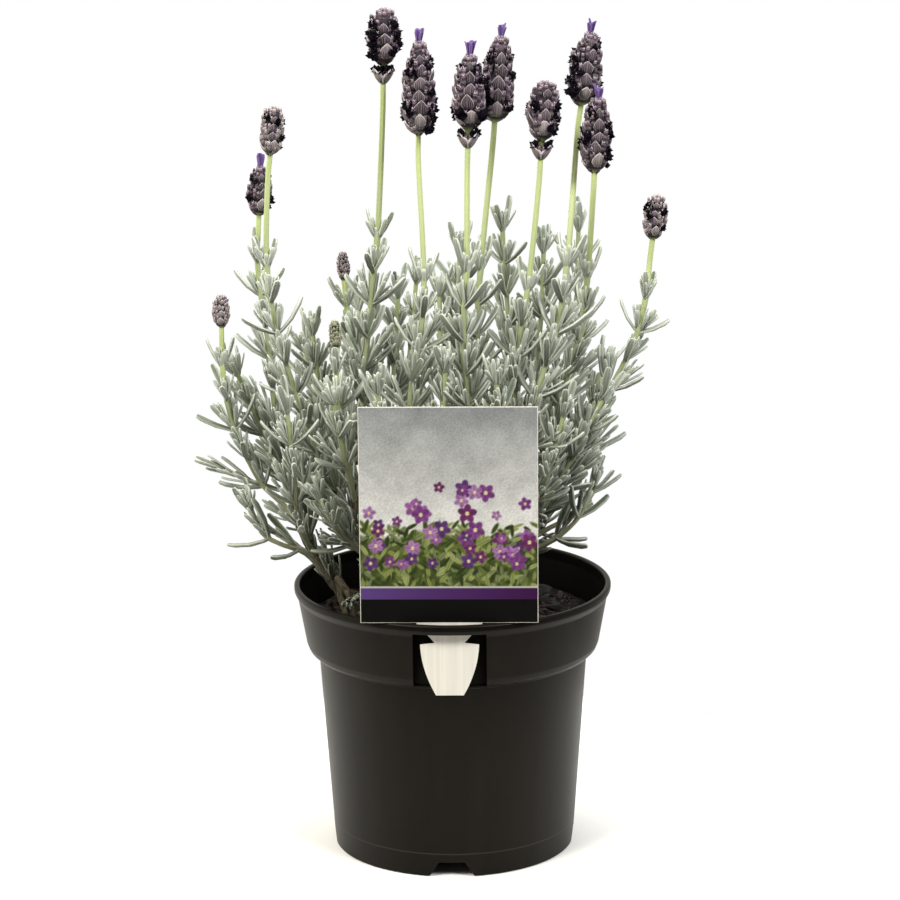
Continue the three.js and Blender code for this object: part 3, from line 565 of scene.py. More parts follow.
def ring_faces(counts):
    """Faces that join rings of points one after another, where a ring of one is a tip."""
    faces = []
    starts = np.cumsum([0, *counts])
    for k in range(len(counts) - 1):
        low, high = starts[k], starts[k + 1]
        around = max(counts[k], counts[k + 1])
        for i in range(around):
            j = (i + 1) % around
            if counts[k] == 1:
                faces.append((low, high + j, high + i))
            elif counts[k + 1] == 1:
                faces.append((low + i, low + j, high))
            else:
                faces.append((low + i, low + j, high + j, high + i))
    if counts[0] > 2:
        faces.append(tuple(range(counts[0] - 1, -1, -1)))
    if counts[-1] > 2:
        faces.append(tuple(range(starts[-2], starts[-1])))
    return faces


def rings_object(name, rings, values=None, finish=None):
    rings = [np.atleast_2d(ring) for ring in rings]
    faces = ring_faces([len(ring) for ring in rings])
    return mesh_object(name, np.concatenate(rings), faces, values, finish)


def circle(radius, height, sides, x=0, y=0):
    angle = np.arange(sides) / sides * 2 * math.pi - math.pi / 2
    return np.column_stack([
        x + radius * np.cos(angle), y + radius * np.sin(angle), np.full(sides, height),
    ])


class Loft:
    """The rings of a small shape of size 1, with two values at each point for its finish."""

    def __init__(self):
        self.rings, self.along, self.edge = [], [], []

    def ring(self, points, along, edge):
        """Adds a ring that is some share of the way along, with how pale each point is."""
        self.rings.append(np.atleast_2d(points) / MM)
        self.along += [along] * len(self.rings[-1])
        self.edge += list(edge)

    def piece(self, name):
        return rings_object(name, self.rings, {"along": self.along, "edge": self.edge})


def sheet_ring(across, front, back, height):
    """A ring of points round a thin sheet, along its front and back along its back."""
    faces = [np.column_stack([across, depth, np.full(len(across), height)]) for depth in (front, back)]
    return np.vstack([faces[0][::-1], faces[1]])


# ---- routes ----

class Route:
    """A smooth way through points, where the speed follows the spacing of the points."""

    DIVISIONS = 200

    def __init__(self, points):
        self.points = np.array(points, float)
        self.steps = np.linspace(0, 1, self.DIVISIONS + 1)
        places = self.at(self.steps)
        strides = np.linalg.norm(np.diff(places, axis=0), axis=1)
        self.lengths = np.concatenate([[0], np.cumsum(strides)])
        self.length = self.lengths[-1]

    def at(self, steps):
        """The points that are so many steps along the route, on a smooth curve."""
        count = len(self.points)
        before = 2 * self.points[0] - self.points[1]
        after = 2 * self.points[-1] - self.points[-2]
        points = np.vstack([before, self.points, after])
        place = np.asarray(steps, float) * (count - 1)
        first = np.minimum(np.floor(place).astype(int), count - 2)
        share = (place - first)[:, None]
        p0, p1, p2, p3 = (points[first + k] for k in range(4))
        d0, d1, d2 = (
            np.maximum(((b - a) ** 2).sum(1), 1e-16)[:, None] ** 0.25
            for a, b in ((p0, p1), (p1, p2), (p2, p3))
        )
        leave = ((p1 - p0) / d0 - (p2 - p0) / (d0 + d1) + (p2 - p1) / d1) * d1
        reach = ((p2 - p1) / d1 - (p3 - p1) / (d1 + d2) + (p3 - p2) / d2) * d1
        square = -3 * p1 + 3 * p2 - 2 * leave - reach
        cube = 2 * p1 - 2 * p2 + leave + reach
        return p1 + share * (leave + share * (square + share * cube))

    def frame(self, distance):
        """The point, the way on and the two cross directions at a distance."""
        step = np.interp(distance, self.lengths, self.steps)
        ends = self.at([max(0, step - 1e-4), min(1, step + 1e-4)])
        along = unit(ends[1] - ends[0])
        side = unit(np.array([0, 1, 0]) - along * along[1])
        return self.at([step])[0], along, side, np.cross(along, side)

    def out(self, distance, turn):
        """The point, the way on and the way out, at a distance and a turn in degrees."""
        point, along, side, front = self.frame(distance)
        return point, along, swung(side, front, turn * DEGREE)


class Shoot:
    """A leafy shoot's route, its leafy length and the distances of its leaf pairs."""

    def __init__(self, number):
        branch, share, head, by = SHOOTS[number]
        wood = Route(BRANCHES[branch])
        foot = wood.frame(share * wood.length)[0]
        stalk = [below_head(head, below) for below in (STALK_NECK, GAP)] if head else []
        points = [foot, *by, *stalk]
        self.number = number
        self.head = head
        self.route = Route(points)
        last = len(by) / (len(points) - 1)
        self.leafy = self.route.lengths[math.floor(last * Route.DIVISIONS)]
        self.spin = 360 * chance(2, number)
        count = max(1, math.floor((self.leafy - LEAF_FIRST) / LEAF_SPACING))
        self.pairs = [self.leafy - 2 - (count - k) * LEAF_SPACING for k in range(count + 1)]

    def radius(self, distance):
        share = min(1, distance / self.route.length)
        end = STALK_RADIUS if self.head else SHOOT_RADIUS[1]
        return SHOOT_RADIUS[0] + (end - SHOOT_RADIUS[0]) * share

    def leaf_turn(self, pair, end):
        """The turn of a leaf, where each pair stands crosswise to the last."""
        return self.spin + 90 * ((pair + 2 * end) % 4 + 1)


def below_head(number, below):
    foot, top = (np.array(place, float) for place in HEADS[number - 1][:2])
    return foot - unit(top - foot) * below


# ---- copies of small shapes, set by Geometry Nodes ----

def scatter_tree():
    """A tree that sets one of several shapes at each point, as its values say."""
    tree = bpy.data.node_groups.new("shapes_on_points", "GeometryNodeTree")
    kinds = {"Geometry": "Geometry", "Shapes": "Collection", "Size": "Float", "Finish": "Material"}
    for name, kind in kinds.items():
        tree.interface.new_socket(name, in_out="INPUT", socket_type=f"NodeSocket{kind}")
    tree.interface.new_socket("Geometry", in_out="OUTPUT", socket_type="NodeSocketGeometry")
    start = add_node(tree, "group inputs")
    shapes = add_node(tree, "collection", start["Shapes"], True, True)
    turn = add_node(tree, "point value", "turn", data_type="QUATERNION")
    size = add_node(tree, "point value", "size", data_type="FLOAT_VECTOR")
    which = add_node(tree, "point value", "which", data_type="INT")
    scaled = add_node(tree, "scaled", size, start["Size"])
    copies = add_node(tree, "copies", start["Geometry"], shapes, True, which, turn, scaled)
    real = add_node(tree, "real mesh", copies)
    add_node(tree, "group output", add_node(tree, "finished mesh", real, start["Finish"]))
    return tree


class Spots:
    """Places for copies of small shapes: where, how turned, how large and which shape."""

    def __init__(self):
        self.places, self.turns, self.sizes, self.which, self.tones = [], [], [], [], []

    def add(self, place, axes, size, which=0, tone=0.5):
        """Adds a copy by its place, the directions of its three axes and its size along them."""
        self.places.append(np.asarray(place) * MM)
        self.turns.append(tuple(Matrix(axes).transposed().to_quaternion()))
        self.sizes.append(np.asarray(size) * MM)
        self.which.append(which)
        self.tones.append(tone)

    def raised(self, name, tree, shapes, finish):
        """The copies as one plain mesh object with a finish."""
        mesh = bpy.data.meshes.new(name)
        mesh.from_pydata([tuple(place) for place in self.places], [], [])
        layers = (
            ("turn", "QUATERNION", "value", self.turns), ("size", "FLOAT_VECTOR", "vector", self.sizes),
            ("which", "INT", "value", self.which), ("tone", "FLOAT", "value", self.tones),
        )
        for key, kind, field, numbers in layers:
            mesh.attributes.new(key, kind, "POINT").data.foreach_set(field, np.ravel(numbers))
        piece = placed(name, mesh)
        grow = piece.modifiers.new("grow", "NODES")
        grow.node_group = tree
        inputs = [item for item in tree.interface.items_tree if item.in_out == "INPUT"]
        sockets = {item.name: item.identifier for item in inputs}
        for key, value in (("Shapes", shapes), ("Size", 1.0), ("Finish", finish)):
            grow[sockets[key]] = value
        evaluated(piece)
        for key in ("turn", "size", "which"):
            if key in piece.data.attributes:
                piece.data.attributes.remove(piece.data.attributes[key])
        piece.data.shade_smooth()
        return piece


def shape_set(name, shapes):
    """A collection of shapes, one for each number that a spot may ask for."""
    group = bpy.data.collections.new(name)
    bpy.context.scene.collection.children.link(group)
    for shape in shapes:
        group.objects.link(shape)
        bpy.context.scene.collection.objects.unlink(shape)
    return group


def drop_shapes(group):
    for shape in list(group.objects):
        bpy.data.objects.remove(shape)
    bpy.data.collections.remove(group)


# ---- leaves ----

def leaf_shape(name, bend, section, widths):
    """A narrow, blunt leaf of length 1 that leaves its root along Z and curves towards Y."""
    bend = bend * DEGREE
    section = np.array(section)
    half = LEAF_HALF / LEAF_LENGTH
    loft = Loft()

    def middle(turn):
        return np.array([0, (1 - math.cos(turn)) / bend, math.sin(turn) / bend])

    for share, width in widths:
        turn = bend * share
        upper = np.array([0, math.cos(turn), -math.sin(turn)])
        depth = half * LEAF_DEPTH * (0.5 + 0.5 * width)
        x, y = section[:, :1] * width * half, section[:, 1:2] * depth
        loft.ring(middle(turn) + x * np.array([1, 0, 0]) + y * upper, share, section[:, 2])
    loft.ring(middle(bend), 1, [0.9])
    return loft.piece(name)


def leaf_rule(shoot, pair, end, bend):
    """Where a leaf of a pair stands, as the solids place it, or as bent clear there."""
    turn_by, lift, shorten = bend
    distance = shoot.pairs[pair]
    keys = (shoot.number, pair, end)
    turn = shoot.leaf_turn(pair, end) + (off(3, *keys) * LEAF_SWAY + turn_by)
    point, along, out = shoot.route.out(distance, turn)
    rise = distance / shoot.leafy
    top = max(0, 1 - (shoot.leafy - distance) / LEAF_SPACING)
    settle = (off(4, *keys) * LEAF_SPREAD - lift) * (1 - 0.6 * top)
    root_angle = (ROOT_ANGLE + (TOP_ROOT_ANGLE - ROOT_ANGLE) * top + settle) * DEGREE
    tip_angle = (TIP_ANGLE + (TOP_TIP_ANGLE - TIP_ANGLE) * top + settle) * DEGREE
    vigour = 0.86 + 0.26 * chance(5, *keys)
    length = LEAF_LENGTH * vigour * (1 - 0.25 * rise * rise) * shorten
    return point, along, out, length, root_angle, tip_angle


def leaf_tip(point, along, out, length, root_angle, tip_angle):
    bend = tip_angle - root_angle
    forward = length * (math.sin(tip_angle) - math.sin(root_angle)) / bend
    outward = length * (math.cos(root_angle) - math.cos(tip_angle)) / bend
    return point + along * forward + out * outward


def solid_points(node):
    """The points of a node's solid, to find which of a leaf's bends it holds."""
    vertices = frame["nodes"][node].data.vertices
    tree = KDTree(len(vertices))
    for i, vertex in enumerate(vertices):
        tree.insert(vertex.co, i)
    tree.balance()
    return tree


def kept_leaf(shoot, pair, end, points):
    """The leaf of a pair as it stands in the solid, or None where there is none."""
    for bend in BENDS:
        leaf = leaf_rule(shoot, pair, end, bend)
        if points.find(Vector(leaf_tip(*leaf)) * MM)[2] < TIP_MATCH * MM:
            return leaf
    return None


def in_the_open(place):
    """Whether a leaf's tip stands clear of the label, the pot's wall and the soil."""
    x, y, z = place
    radius = math.hypot(x, y)
    if y < LABEL_FRONT + 4 and abs(x) < CARD_HALF + 3 and z < CARD_TOP + 4:
        return False
    if z < SOIL_SURFACE + 5 and radius < RIM_RADIUS:
        return False
    return z > POT_HEIGHT + 2 or radius < BEAD_INNER - 8


def in_the_crown(place):
    """Whether a place is in the open and over the lower edge of the plant's crown."""
    edges = (height + slope * (place[0] - x) for x, height, slope in CROWN_EDGES)
    return in_the_open(place) and place[2] > max(edges)


def add_leaf(spots, leaf, which, tone, broad, roll=0.0):
    point, along, out, length, root_angle, _ = leaf
    allowed = in_the_open if which in (BLADE, TOP_BLADE) else in_the_crown
    if allowed(leaf_tip(*leaf)):
        across = unit(np.cross(along, out))
        way = swung(along, out, root_angle)
        upper = np.cross(way, across)
        axes = (swung(across, upper, roll), swung(upper, across, -roll), way)
        spots.add(point, axes, (LEAF_LENGTH * broad, length, length), which, tone)


def leaf_tone_and_shade(place, spread):
    """How silvery a leaf is: leaves low down and inside the crown are darker and greener, partly as old
    leaves are and partly as painted shade.
    """
    high = (place[2] - 170) / 170
    outer = math.hypot(place[0], place[1]) / 140
    spread *= min(1, max(0.3, (place[2] - 140) / 80))
    return min(1, max(0, 0.62 * high + 0.25 * outer + 0.45 * (spread - 0.5) + 0.08))


def add_little_leaf(spots, place, axis, out, length, root_angle, tone, broad):
    """Adds a young leaf, whose root leans out from an axis by an angle in degrees."""
    root_angle *= DEGREE
    leaf = (place, axis, out, length, root_angle, root_angle - LITTLE_BEND * DEGREE)
    add_leaf(spots, leaf, LITTLE_BLADE, tone, broad)


def side_shoot(spots, point, axis, out, reach, leaf_length, keys):
    """A short side shoot with crosswise pairs of young leaves, which close up at its tip."""
    if not in_the_crown(point + axis * reach):
        return
    across = unit(np.cross(axis, out))
    third = np.cross(axis, across)
    pairs = 3 + round(reach / SIDE_LEAF_SPACING)
    if reach > 8:
        size = (TWIG_WIDTH, TWIG_WIDTH, reach)
        spots.add(point, (across, third, axis), size, TWIG_SHAPE, leaf_tone_and_shade(point, 0.5))
    for k in range(2 * pairs):
        level = (k // 2) / (pairs - 1)
        around = (90 * (k // 2) + 180 * (k % 2) + 50 * off(11, *keys, k)) * DEGREE
        length = leaf_length * (0.85 + 0.35 * chance(12, *keys, k)) * (1 - 0.25 * level)
        root_angle = 22 - 14 * level + 14 * chance(13, *keys, k)
        start = point + axis * (1 + reach * level)
        add_little_leaf(spots, start, axis, swung(across, third, around), length, root_angle,
                        leaf_tone_and_shade(start, chance(14, *keys, k)), 0.56 + 0.18 * chance(15, *keys, k))


def axil_shoot(shoot, spots, distance, turn, key):
    """The side shoot in the axil of a leaf, longest low down on its shoot."""
    point, along, out = shoot.route.out(distance, turn)
    rise = distance / shoot.leafy
    vigour = 0.6 + 0.8 * chance(17, shoot.number, key)
    low = np.interp(point[2], (200, 280), (1.45, 1))
    reach = (2 + 22 * (1 - rise) ** 1.2) * vigour * low
    lean = 32 - 14 * rise - 10 * chance(18, shoot.number, key)
    axis = swung(along, out, lean * DEGREE)
    leaf_length = 13 + 11 * (1 - rise) * vigour
    side_shoot(spots, point + out, axis, out, reach, leaf_length, (shoot.number, key))


def tip_leaves(shoot, spots):
    """The young leaves that close the top of a shoot."""
    for k in range(TIP_LEAVES):
        keys = (shoot.number, k)
        turn = shoot.spin + 60 * k + 30 * chance(31, *keys)
        point, along, out = shoot.route.out(shoot.leafy - 1, turn)
        length = (11 if shoot.head else 18) * (0.65 + 0.5 * chance(32, *keys))
        lean = 12 + 20 * chance(33, *keys)
        tone = leaf_tone_and_shade(point, 0.6 + 0.4 * chance(34, *keys))
        add_little_leaf(spots, point - along * 2, along, out, length, lean, tone, 0.66)


def make_low_shoots(tree, blades, finish):
    """Leafy side shoots low on the woody branches, which hide most of the wood."""
    spots = Spots()
    for number, points in enumerate([*BRANCHES.values(), *ROOTED]):
        wood = Route(points)
        for k in range(LOW_SHOOTS):
            keys = (500 + number, k)
            share = LOW_START + (1 - LOW_START) * (k + chance(21, *keys)) / LOW_SHOOTS
            turn = LOW_SHOOT_TURN * k + 60 * chance(22, *keys)
            point, along, out = wood.out(share * wood.length, turn)
            out = unit(out + np.array([0, 0, 0.6]))
            axis = unit(swung(along, out, (38 + 26 * chance(23, *keys)) * DEGREE))
            reach = 8 + 24 * chance(24, *keys)
            side_shoot(spots, point, axis, out, reach, 14 + 6 * chance(25, *keys), keys)
    piece = spots.raised("low_side_shoots", tree, blades, finish)
    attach(piece, "root")


def stem_object(shoot, finish):
    """The square stem with rounded edges, swollen where a pair of leaves grows from it."""
    length = shoot.route.length
    rings, bare, woody = [], [], []
    for distance in np.linspace(0, length, max(4, round(length / STEM_STEP)) + 1):
        point, _, side, front = shoot.route.frame(distance)
        nearest = min(abs(distance - pair) for pair in shoot.pairs)
        past = (distance - shoot.leafy + STALK_FADE) / (length - shoot.leafy + STALK_FADE)
        swell = 1 + 0.2 * max(0, 1 - nearest / 4)
        swell *= np.interp(distance, (0, 60, shoot.leafy - 20, shoot.leafy), STEM_FULLNESSES)
        ring = []
        for k in range(STEM_SIDES):
            around = k / STEM_SIDES * 2 * math.pi
            radius = shoot.radius(distance) * swell * (0.8 + 0.2 * abs(math.sin(2 * around)))
            ring.append(point + swung(side, front, shoot.spin * DEGREE + around) * radius)
        rings.append(np.array(ring))
        bare += [min(1, max(0, past)) * (1 if shoot.head else 0.3)] * STEM_SIDES
        woody += [np.interp(point[2], (170, 290), (1, 0))] * STEM_SIDES
    return rings_object(f"stem_{shoot.number + 1}", rings, {"bare": bare, "tone": woody}, finish)


def make_leafy_stem(number, tree, blades, leaf_finish, stem_finish):
    """A stem with the leaves that its solid holds, its side shoots and its closed tip."""
    shoot = Shoot(number)
    node = f"leafy_stem_{number + 1}"
    points = solid_points(node)
    spots = Spots()
    for pair, distance in enumerate(shoot.pairs):
        which = TOP_BLADE if pair == len(shoot.pairs) - 1 else BLADE
        for end in (0, 1):
            keys = (number, pair, end)
            leaf = kept_leaf(shoot, pair, end, points)
            if leaf:
                tone = 0.82 * leaf_tone_and_shade(leaf[0], chance(41, *keys))
                broad = 0.82 + 0.24 * chance(43, *keys)
                add_leaf(spots, leaf, which, tone, broad, LEAF_ROLL * off(42, *keys))
            axil_shoot(shoot, spots, distance, shoot.leaf_turn(pair, end), 2 * pair + end)
    tip_leaves(shoot, spots)
    leaves = spots.raised(f"leaves_{number + 1}", tree, blades, leaf_finish)
    piece = joined(f"{node}_grown", [smooth(stem_object(shoot, stem_finish)), leaves])
    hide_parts(node)
    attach(piece, "root")


# ---- flower heads ----

def bract_shape(name, seed):
    """A broad, ribbed, ragged bract of height 1 and width 1, cupped round the head."""
    across = np.linspace(-1, 1, 5)
    loft = Loft()
    for k, (share, width) in enumerate(BRACT_WIDTHS):
        x = across * 0.5 * width * (0.92 + 0.16 * chance(51, seed, k))
        bulge = 0.16 * math.sin(share * math.pi * 0.9) - 0.9 * x * x
        rib = 0.025 * np.cos(across * math.pi * 2)
        ragged = share + 0.05 * share * np.array([off(52, seed, k, i) for i in range(len(across))])
        loft.ring(sheet_ring(x, bulge + rib, bulge - 0.05, ragged), share, [*np.abs(across)] * 2)
    loft.ring([0.06 * off(57, seed), 0.02, 1.04], 1, [1])
    return loft.piece(name)


def petal_shape(name):
    """A thin, upright, oblong petal of the tuft, of height 1."""
    across = np.linspace(-1, 1, 5)
    loft = Loft()
    for share, width in PETAL_WIDTHS:
        x = across * width
        y = 0.1 * share * share - 1.2 * x * x
        loft.ring(sheet_ring(x, y + 0.012, y - 0.012, share), share, [*np.abs(across)] * 2)
    loft.ring([0, 0.1, 1.0], 1, [1])
    return loft.piece(name)


def calyx_shape(name):
    """A ribbed tube of height 1 with a toothed mouth."""
    loft = Loft()
    for share, radius, pale in CALYX_RINGS:
        ring = circle(radius, share, CALYX_SIDES)
        ring[::2, :2] *= 1.16
        if share == 1:
            ring[::2, 2] += 0.14
        loft.ring(ring, share, [pale] * CALYX_SIDES)
    return loft.piece(name)


def floret_shape(name, seed):
    """A withered floret: an open rosette of dry lobes, curled and crumpled, of width 1."""
    points, faces, edge = [], [], []
    for lobe in range(FLORET_LOBES):
        turn = (lobe + 0.5 * chance(53, seed, lobe)) / FLORET_LOBES * 2 * math.pi
        out = np.array([math.cos(turn), math.sin(turn), 0])
        across = np.array([-math.sin(turn), math.cos(turn), 0])
        curl = 0.5 * chance(54, seed, lobe) - 0.1
        low, high, tip = (len(points) + k for k in (0, 3, 6))
        for share, half in ((0.1, 0.14), (0.7, 0.22 + 0.1 * chance(55, seed, lobe))):
            middle = out * 0.42 * share + np.array([0, 0, 0.1 * share - 0.1])
            points += [middle - across * half, middle - [0, 0, 0.2], middle + across * half]
            edge += [share] * 3
        points.append(out * (0.5 - 0.3 * abs(curl)) + np.array([0, 0, curl]))
        edge.append(1)
        faces += [(low + i, low + (i + 1) % 3, high + (i + 1) % 3, high + i) for i in range(3)]
        faces += [(high + i, high + (i + 1) % 3, tip) for i in range(3)]
        faces.append((low + 2, low + 1, low))
    return mesh_object(name, np.array(points) / MM, faces, {"edge": edge})


class Head:
    """A flower head's axis and how its radius swells and narrows on the way up."""

    def __init__(self, number):
        foot, top, self.radius, self.apart, self.tuft = HEADS[number - 1]
        self.number = number
        self.foot = np.array(foot, float)
        rise = np.array(top, float) - self.foot
        self.way = unit(rise)
        self.spike = float(np.linalg.norm(rise)) - (TUFT_HEIGHT if self.tuft else 0)
        self.low = APART_HEIGHT if self.apart else 0
        self.step = WHORL_STEP * self.radius
        self.whorls = max(4, round((self.spike - self.low) / self.step) - 1)
        self.side = unit(np.cross(np.array([0, 1, 0]), self.way))
        self.front = np.cross(self.way, self.side)

    def swell(self, level):
        share = (level - self.low) / (self.spike - self.low)
        return self.radius * np.interp(share, HEAD_SHARES, TUFTED_HEAD if self.tuft else BLUNT_HEAD)

    def out(self, turn):
        return swung(self.side, self.front, turn * DEGREE)

    def at(self, level, turn, reach):
        return self.foot + self.way * level + self.out(turn) * reach

    def spot(self, spots, turn, reach, level, lean, size, which=0, tone=0.5, spin=0.0):
        """Sets a shape at a level of the head, leaning outwards from it by an angle."""
        out = self.out(turn)
        way = swung(self.way, out, lean * DEGREE)
        across = unit(np.cross(out, self.way))
        upper = np.cross(way, across)
        axes = (swung(across, upper, spin), swung(upper, across, -spin), way)
        spots.add(self.at(level, turn, reach), axes, np.broadcast_to(size, 3), which, tone)


def head_core(head, finish):
    """The spindle that carries the bracts, which runs on as the tuft's stalk."""
    rings, tone = [], []
    for k in range(CORE_RINGS):
        level = head.spike * k / (CORE_RINGS - 1)
        inside = level >= head.low and k > 0
        radius = max(CORE_RADIUS, head.swell(level) * CORE_FULLNESS) if inside else CORE_RADIUS
        if k == CORE_RINGS - 1:
            radius = 0.9
        turns = np.arange(CORE_SIDES) * 360 / CORE_SIDES
        rings.append(np.array([head.at(level, turn, radius) for turn in turns]))
        tone += [0.0 if inside else 1.0] * CORE_SIDES
    return rings_object(f"core_{head.number}", rings, {"tone": tone}, finish)


def add_whorls(head, spots):
    """The bracts, calyces and withered florets of a head, whorl by whorl."""
    for whorl in range(head.whorls):
        share = whorl / (head.whorls - 1)
        level = head.low + head.step * whorl
        small = 1 - 0.4 * share ** 2
        tall = head.radius * 0.9 * small
        full = head.swell(min(head.spike, level + 0.8 * tall))
        start = 0.72 * head.swell(level) if whorl else 1.6
        lean = math.degrees(math.atan2(full * 0.89 - start, tall))
        for half in (0, 1):
            keys = (head.number, whorl, half)
            turn = 90 * (whorl % 2) + 180 * half + 34 * off(61, *keys) + 8
            wide = head.radius * small * (0.68 + 0.24 * chance(58, *keys))
            size = (wide, tall, tall * (0.86 + 0.3 * chance(63, *keys)))
            tone = 0.8 * chance(62, *keys) ** 1.8 + (0.2 if whorl < 2 else 0)
            tone += 0.5 if head.radius < PALE_HEAD else 0
            kind = spots["bracts" if whorl > 1 else "low_bracts"]
            head.spot(kind, turn, start, level, lean + 9 * off(50, *keys), size,
                      int(3 * chance(64, *keys)), tone)
            for k, aside in enumerate((-47, -30, 30, 47)):
                keys = (head.number, whorl, half, k)
                around = turn + aside + 14 * off(65, *keys)
                height = level + (1.0 * chance(66, *keys) - 0.2) * head.step
                long = tall * (0.66 + 0.34 * chance(60, *keys))
                tilt = lean + 14 * (chance(67, *keys) - 0.4)
                head.spot(spots["calyces"], around, start, height, tilt, (0.8 * long, long, long), 0,
                          chance(68, *keys) ** 1.8)
                if abs(aside) > 40:
                    add_withered(head, spots["florets"], keys, share, around, (full, height + 0.72 * long))


def add_withered(head, florets, keys, share, around, mouth):
    """Sets a knot of withered florets between two bracts, in those whorls that have any."""
    full, level = mouth
    patch = chance(78, head.number, keys[1] // 2, round(around / 90))
    borne = head.radius >= CLOSED_HEAD and patch <= np.interp(head.radius, *FLORET_PATCHES)
    if share > 0.9 or not borne:
        return
    for k in range(3):
        more = (*keys, k)
        size = FLORET_SIZE * head.radius / FULL_HEAD * (0.75 + 0.4 * chance(70, *more))
        reach = full * (0.95 + 0.12 * chance(49, *more))
        head.spot(florets, around + 26 * off(69, *more), reach, level + 2.6 * off(48, *more),
                  62 + 30 * chance(72, *more), size, int(3 * chance(71, *more)),
                  spin=SPIN * chance(80, *more))


def add_apart_whorl(head, spots):
    """The lowest whorl, two spreading calyx groups that stand clear on the green stalk."""
    size = APART_HEIGHT * 0.92
    for half, turn in enumerate((-36, 216)):
        for side in (turn, -turn):
            head.spot(spots["low_bracts"], side, 1.6, 0.1, 27, (9, size, size), half)
        for k, aside in enumerate((-34, 34)):
            long = size * (0.66 + 0.12 * chance(101, head.number, half, k))
            head.spot(spots["calyces"], turn + aside, 1.8, 0.8, 24, (long * 0.8, long * 0.8, long))
        for k in range(3):
            keys = (head.number, half, k)
            head.spot(spots["florets"], turn + 60 * off(105, *keys), 6, 10 + 2 * off(106, *keys),
                      50 + 40 * chance(102, *keys), FLORET_SIZE, int(3 * chance(103, *keys)),
                      spin=SPIN * chance(104, *keys))
    if head.number == TALLEST_HEAD:
        head.spot(spots["florets"], -84, 3.6, 9, 80, 5.4, 1)


def add_top(head, spots):
    """The petals of the tuft, and the calyces that close the top of the head."""
    for k in range(TUFT_PETALS if head.tuft else 0):
        keys = (head.number, k)
        turn = 360 / TUFT_PETALS * k + 50 * chance(73, *keys)
        long = TUFT_HEIGHT * (0.9 + 0.35 * chance(74, *keys))
        size = (long * 0.8, long, long)
        head.spot(spots["petals"], turn, 0.8, head.spike - 2, 1 + 8 * chance(75, *keys), size)
    for k in range(TOP_CALYCES):
        keys = (head.number, k)
        long = head.radius * (0.5 + 0.16 * chance(77, *keys))
        inner = k % 3 / 3
        reach = head.swell(head.spike) * (1 - inner) * 0.8
        level = head.spike - long * (0.95 - 0.35 * inner)
        head.spot(spots["calyces"], TOP_CALYX_TURN * k, reach, level, 14 * (1 - inner), long, 0,
                  chance(59, *keys))


def make_flower_head(number, tree, shapes, finishes):
    """One head: the spindle with all its bracts, calyces, florets and petals joined to it."""
    head = Head(number)
    other, kinds = OTHER_FINISHES.get(number, ("core", ()))
    finishes = {**finishes, **dict.fromkeys(kinds, finishes[other])}
    spots = {kind: Spots() for kind in shapes}
    add_whorls(head, spots)
    add_top(head, spots)
    if head.apart:
        add_apart_whorl(head, spots)
    parts = [head_core(head, finishes["core"])]
    for kind, places in spots.items():
        if places.places:
            parts.append(places.raised(f"{kind}_{number}", tree, shapes[kind], finishes[kind]))
    piece = joined(f"flower_head_{number}_grown", parts)
    piece.data.shade_smooth()
    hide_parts(f"flower_head_{number}")
    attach(piece, "root")


# ---- woody base ----

def branch_rings(points, radii, sides):
    route = Route(points)
    rings = []
    for distance in np.linspace(0, route.length, max(4, round(route.length / 5)) + 1):
        point, _, side, front = route.frame(distance)
        radius = radii[0] + (radii[1] - radii[0]) * distance / route.length
        angle = (np.arange(sides) + 0.5) / sides * 2 * math.pi
        rings.append(point + radius * (np.cos(angle)[:, None] * side + np.sin(angle)[:, None] * front))
    return rings


def roughen(piece):
    """Raises ridges along the bark and knots on it."""
    vertices = piece.data.vertices
    places, normals = np.empty((len(vertices), 3)), np.empty((len(vertices), 3))
    vertices.foreach_get("co", places.reshape(-1))
    vertices.foreach_get("normal", normals.reshape(-1))
    for i, (x, y, z) in enumerate(places / MM):
        ridge = noise.noise(Vector((x / 1.8, y / 1.8, z / 9)))
        knot = noise.noise(Vector((x / 7, y / 7, z / 7)))
        places[i] += normals[i] * (0.45 * ridge + 0.5 * knot) * MM
    vertices.foreach_set("co", places.ravel())
    piece.data.update()


def make_woody_base(finish):
    """The branches grown into one body, with bark that runs along them in ridges."""
    x, y = CROWN
    trunk = [(x, y, CROWN_LOW), (x, y, (CROWN_LOW + CROWN_HIGH) / 2), (x, y, CROWN_HIGH)]
    wood = [(trunk, CROWN_RADIUS, TRUNK_SIDES)]
    wood += [(points, BRANCH_RADIUS, BRANCH_SIDES) for points in BRANCHES.values()]
    wood += [(points, ROOTED_RADIUS, BRANCH_SIDES) for points in ROOTED]
    parts = [rings_object(f"wood_{k}", branch_rings(*limb)) for k, limb in enumerate(wood)]
    piece = joined("woody_base_grown", parts)
    changed(piece, "REMESH", mode="VOXEL", voxel_size=BARK_VOXEL * MM)
    changed(piece, "SMOOTH", factor=0.5, iterations=3)
    roughen(piece)
    coated(piece, finish).data.shade_smooth()
    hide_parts("woody_base")
    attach(piece, "root")


# ---- pot ----

def wall_radius(height):
    return BASE_RADIUS + (SHOULDER_RADIUS - BASE_RADIUS) * height / SHOULDER_HEIGHT


def rounded(points, radius=0.6, steps=3):
    """A profile with its corners eased, apart from its two ends on the axis."""
    points = np.array(points, float)
    eased = [points[0]]
    for before, corner, after in zip(points, points[1:], points[2:]):
        back, on = before - corner, after - corner
        reach = min(radius, 0.4 * np.linalg.norm(back), 0.4 * np.linalg.norm(on))
        start, end = corner + unit(back) * reach, corner + unit(on) * reach
        eased += [curved(start, corner, end, k / steps) for k in range(steps + 1)]
    return [*eased, points[-1]]


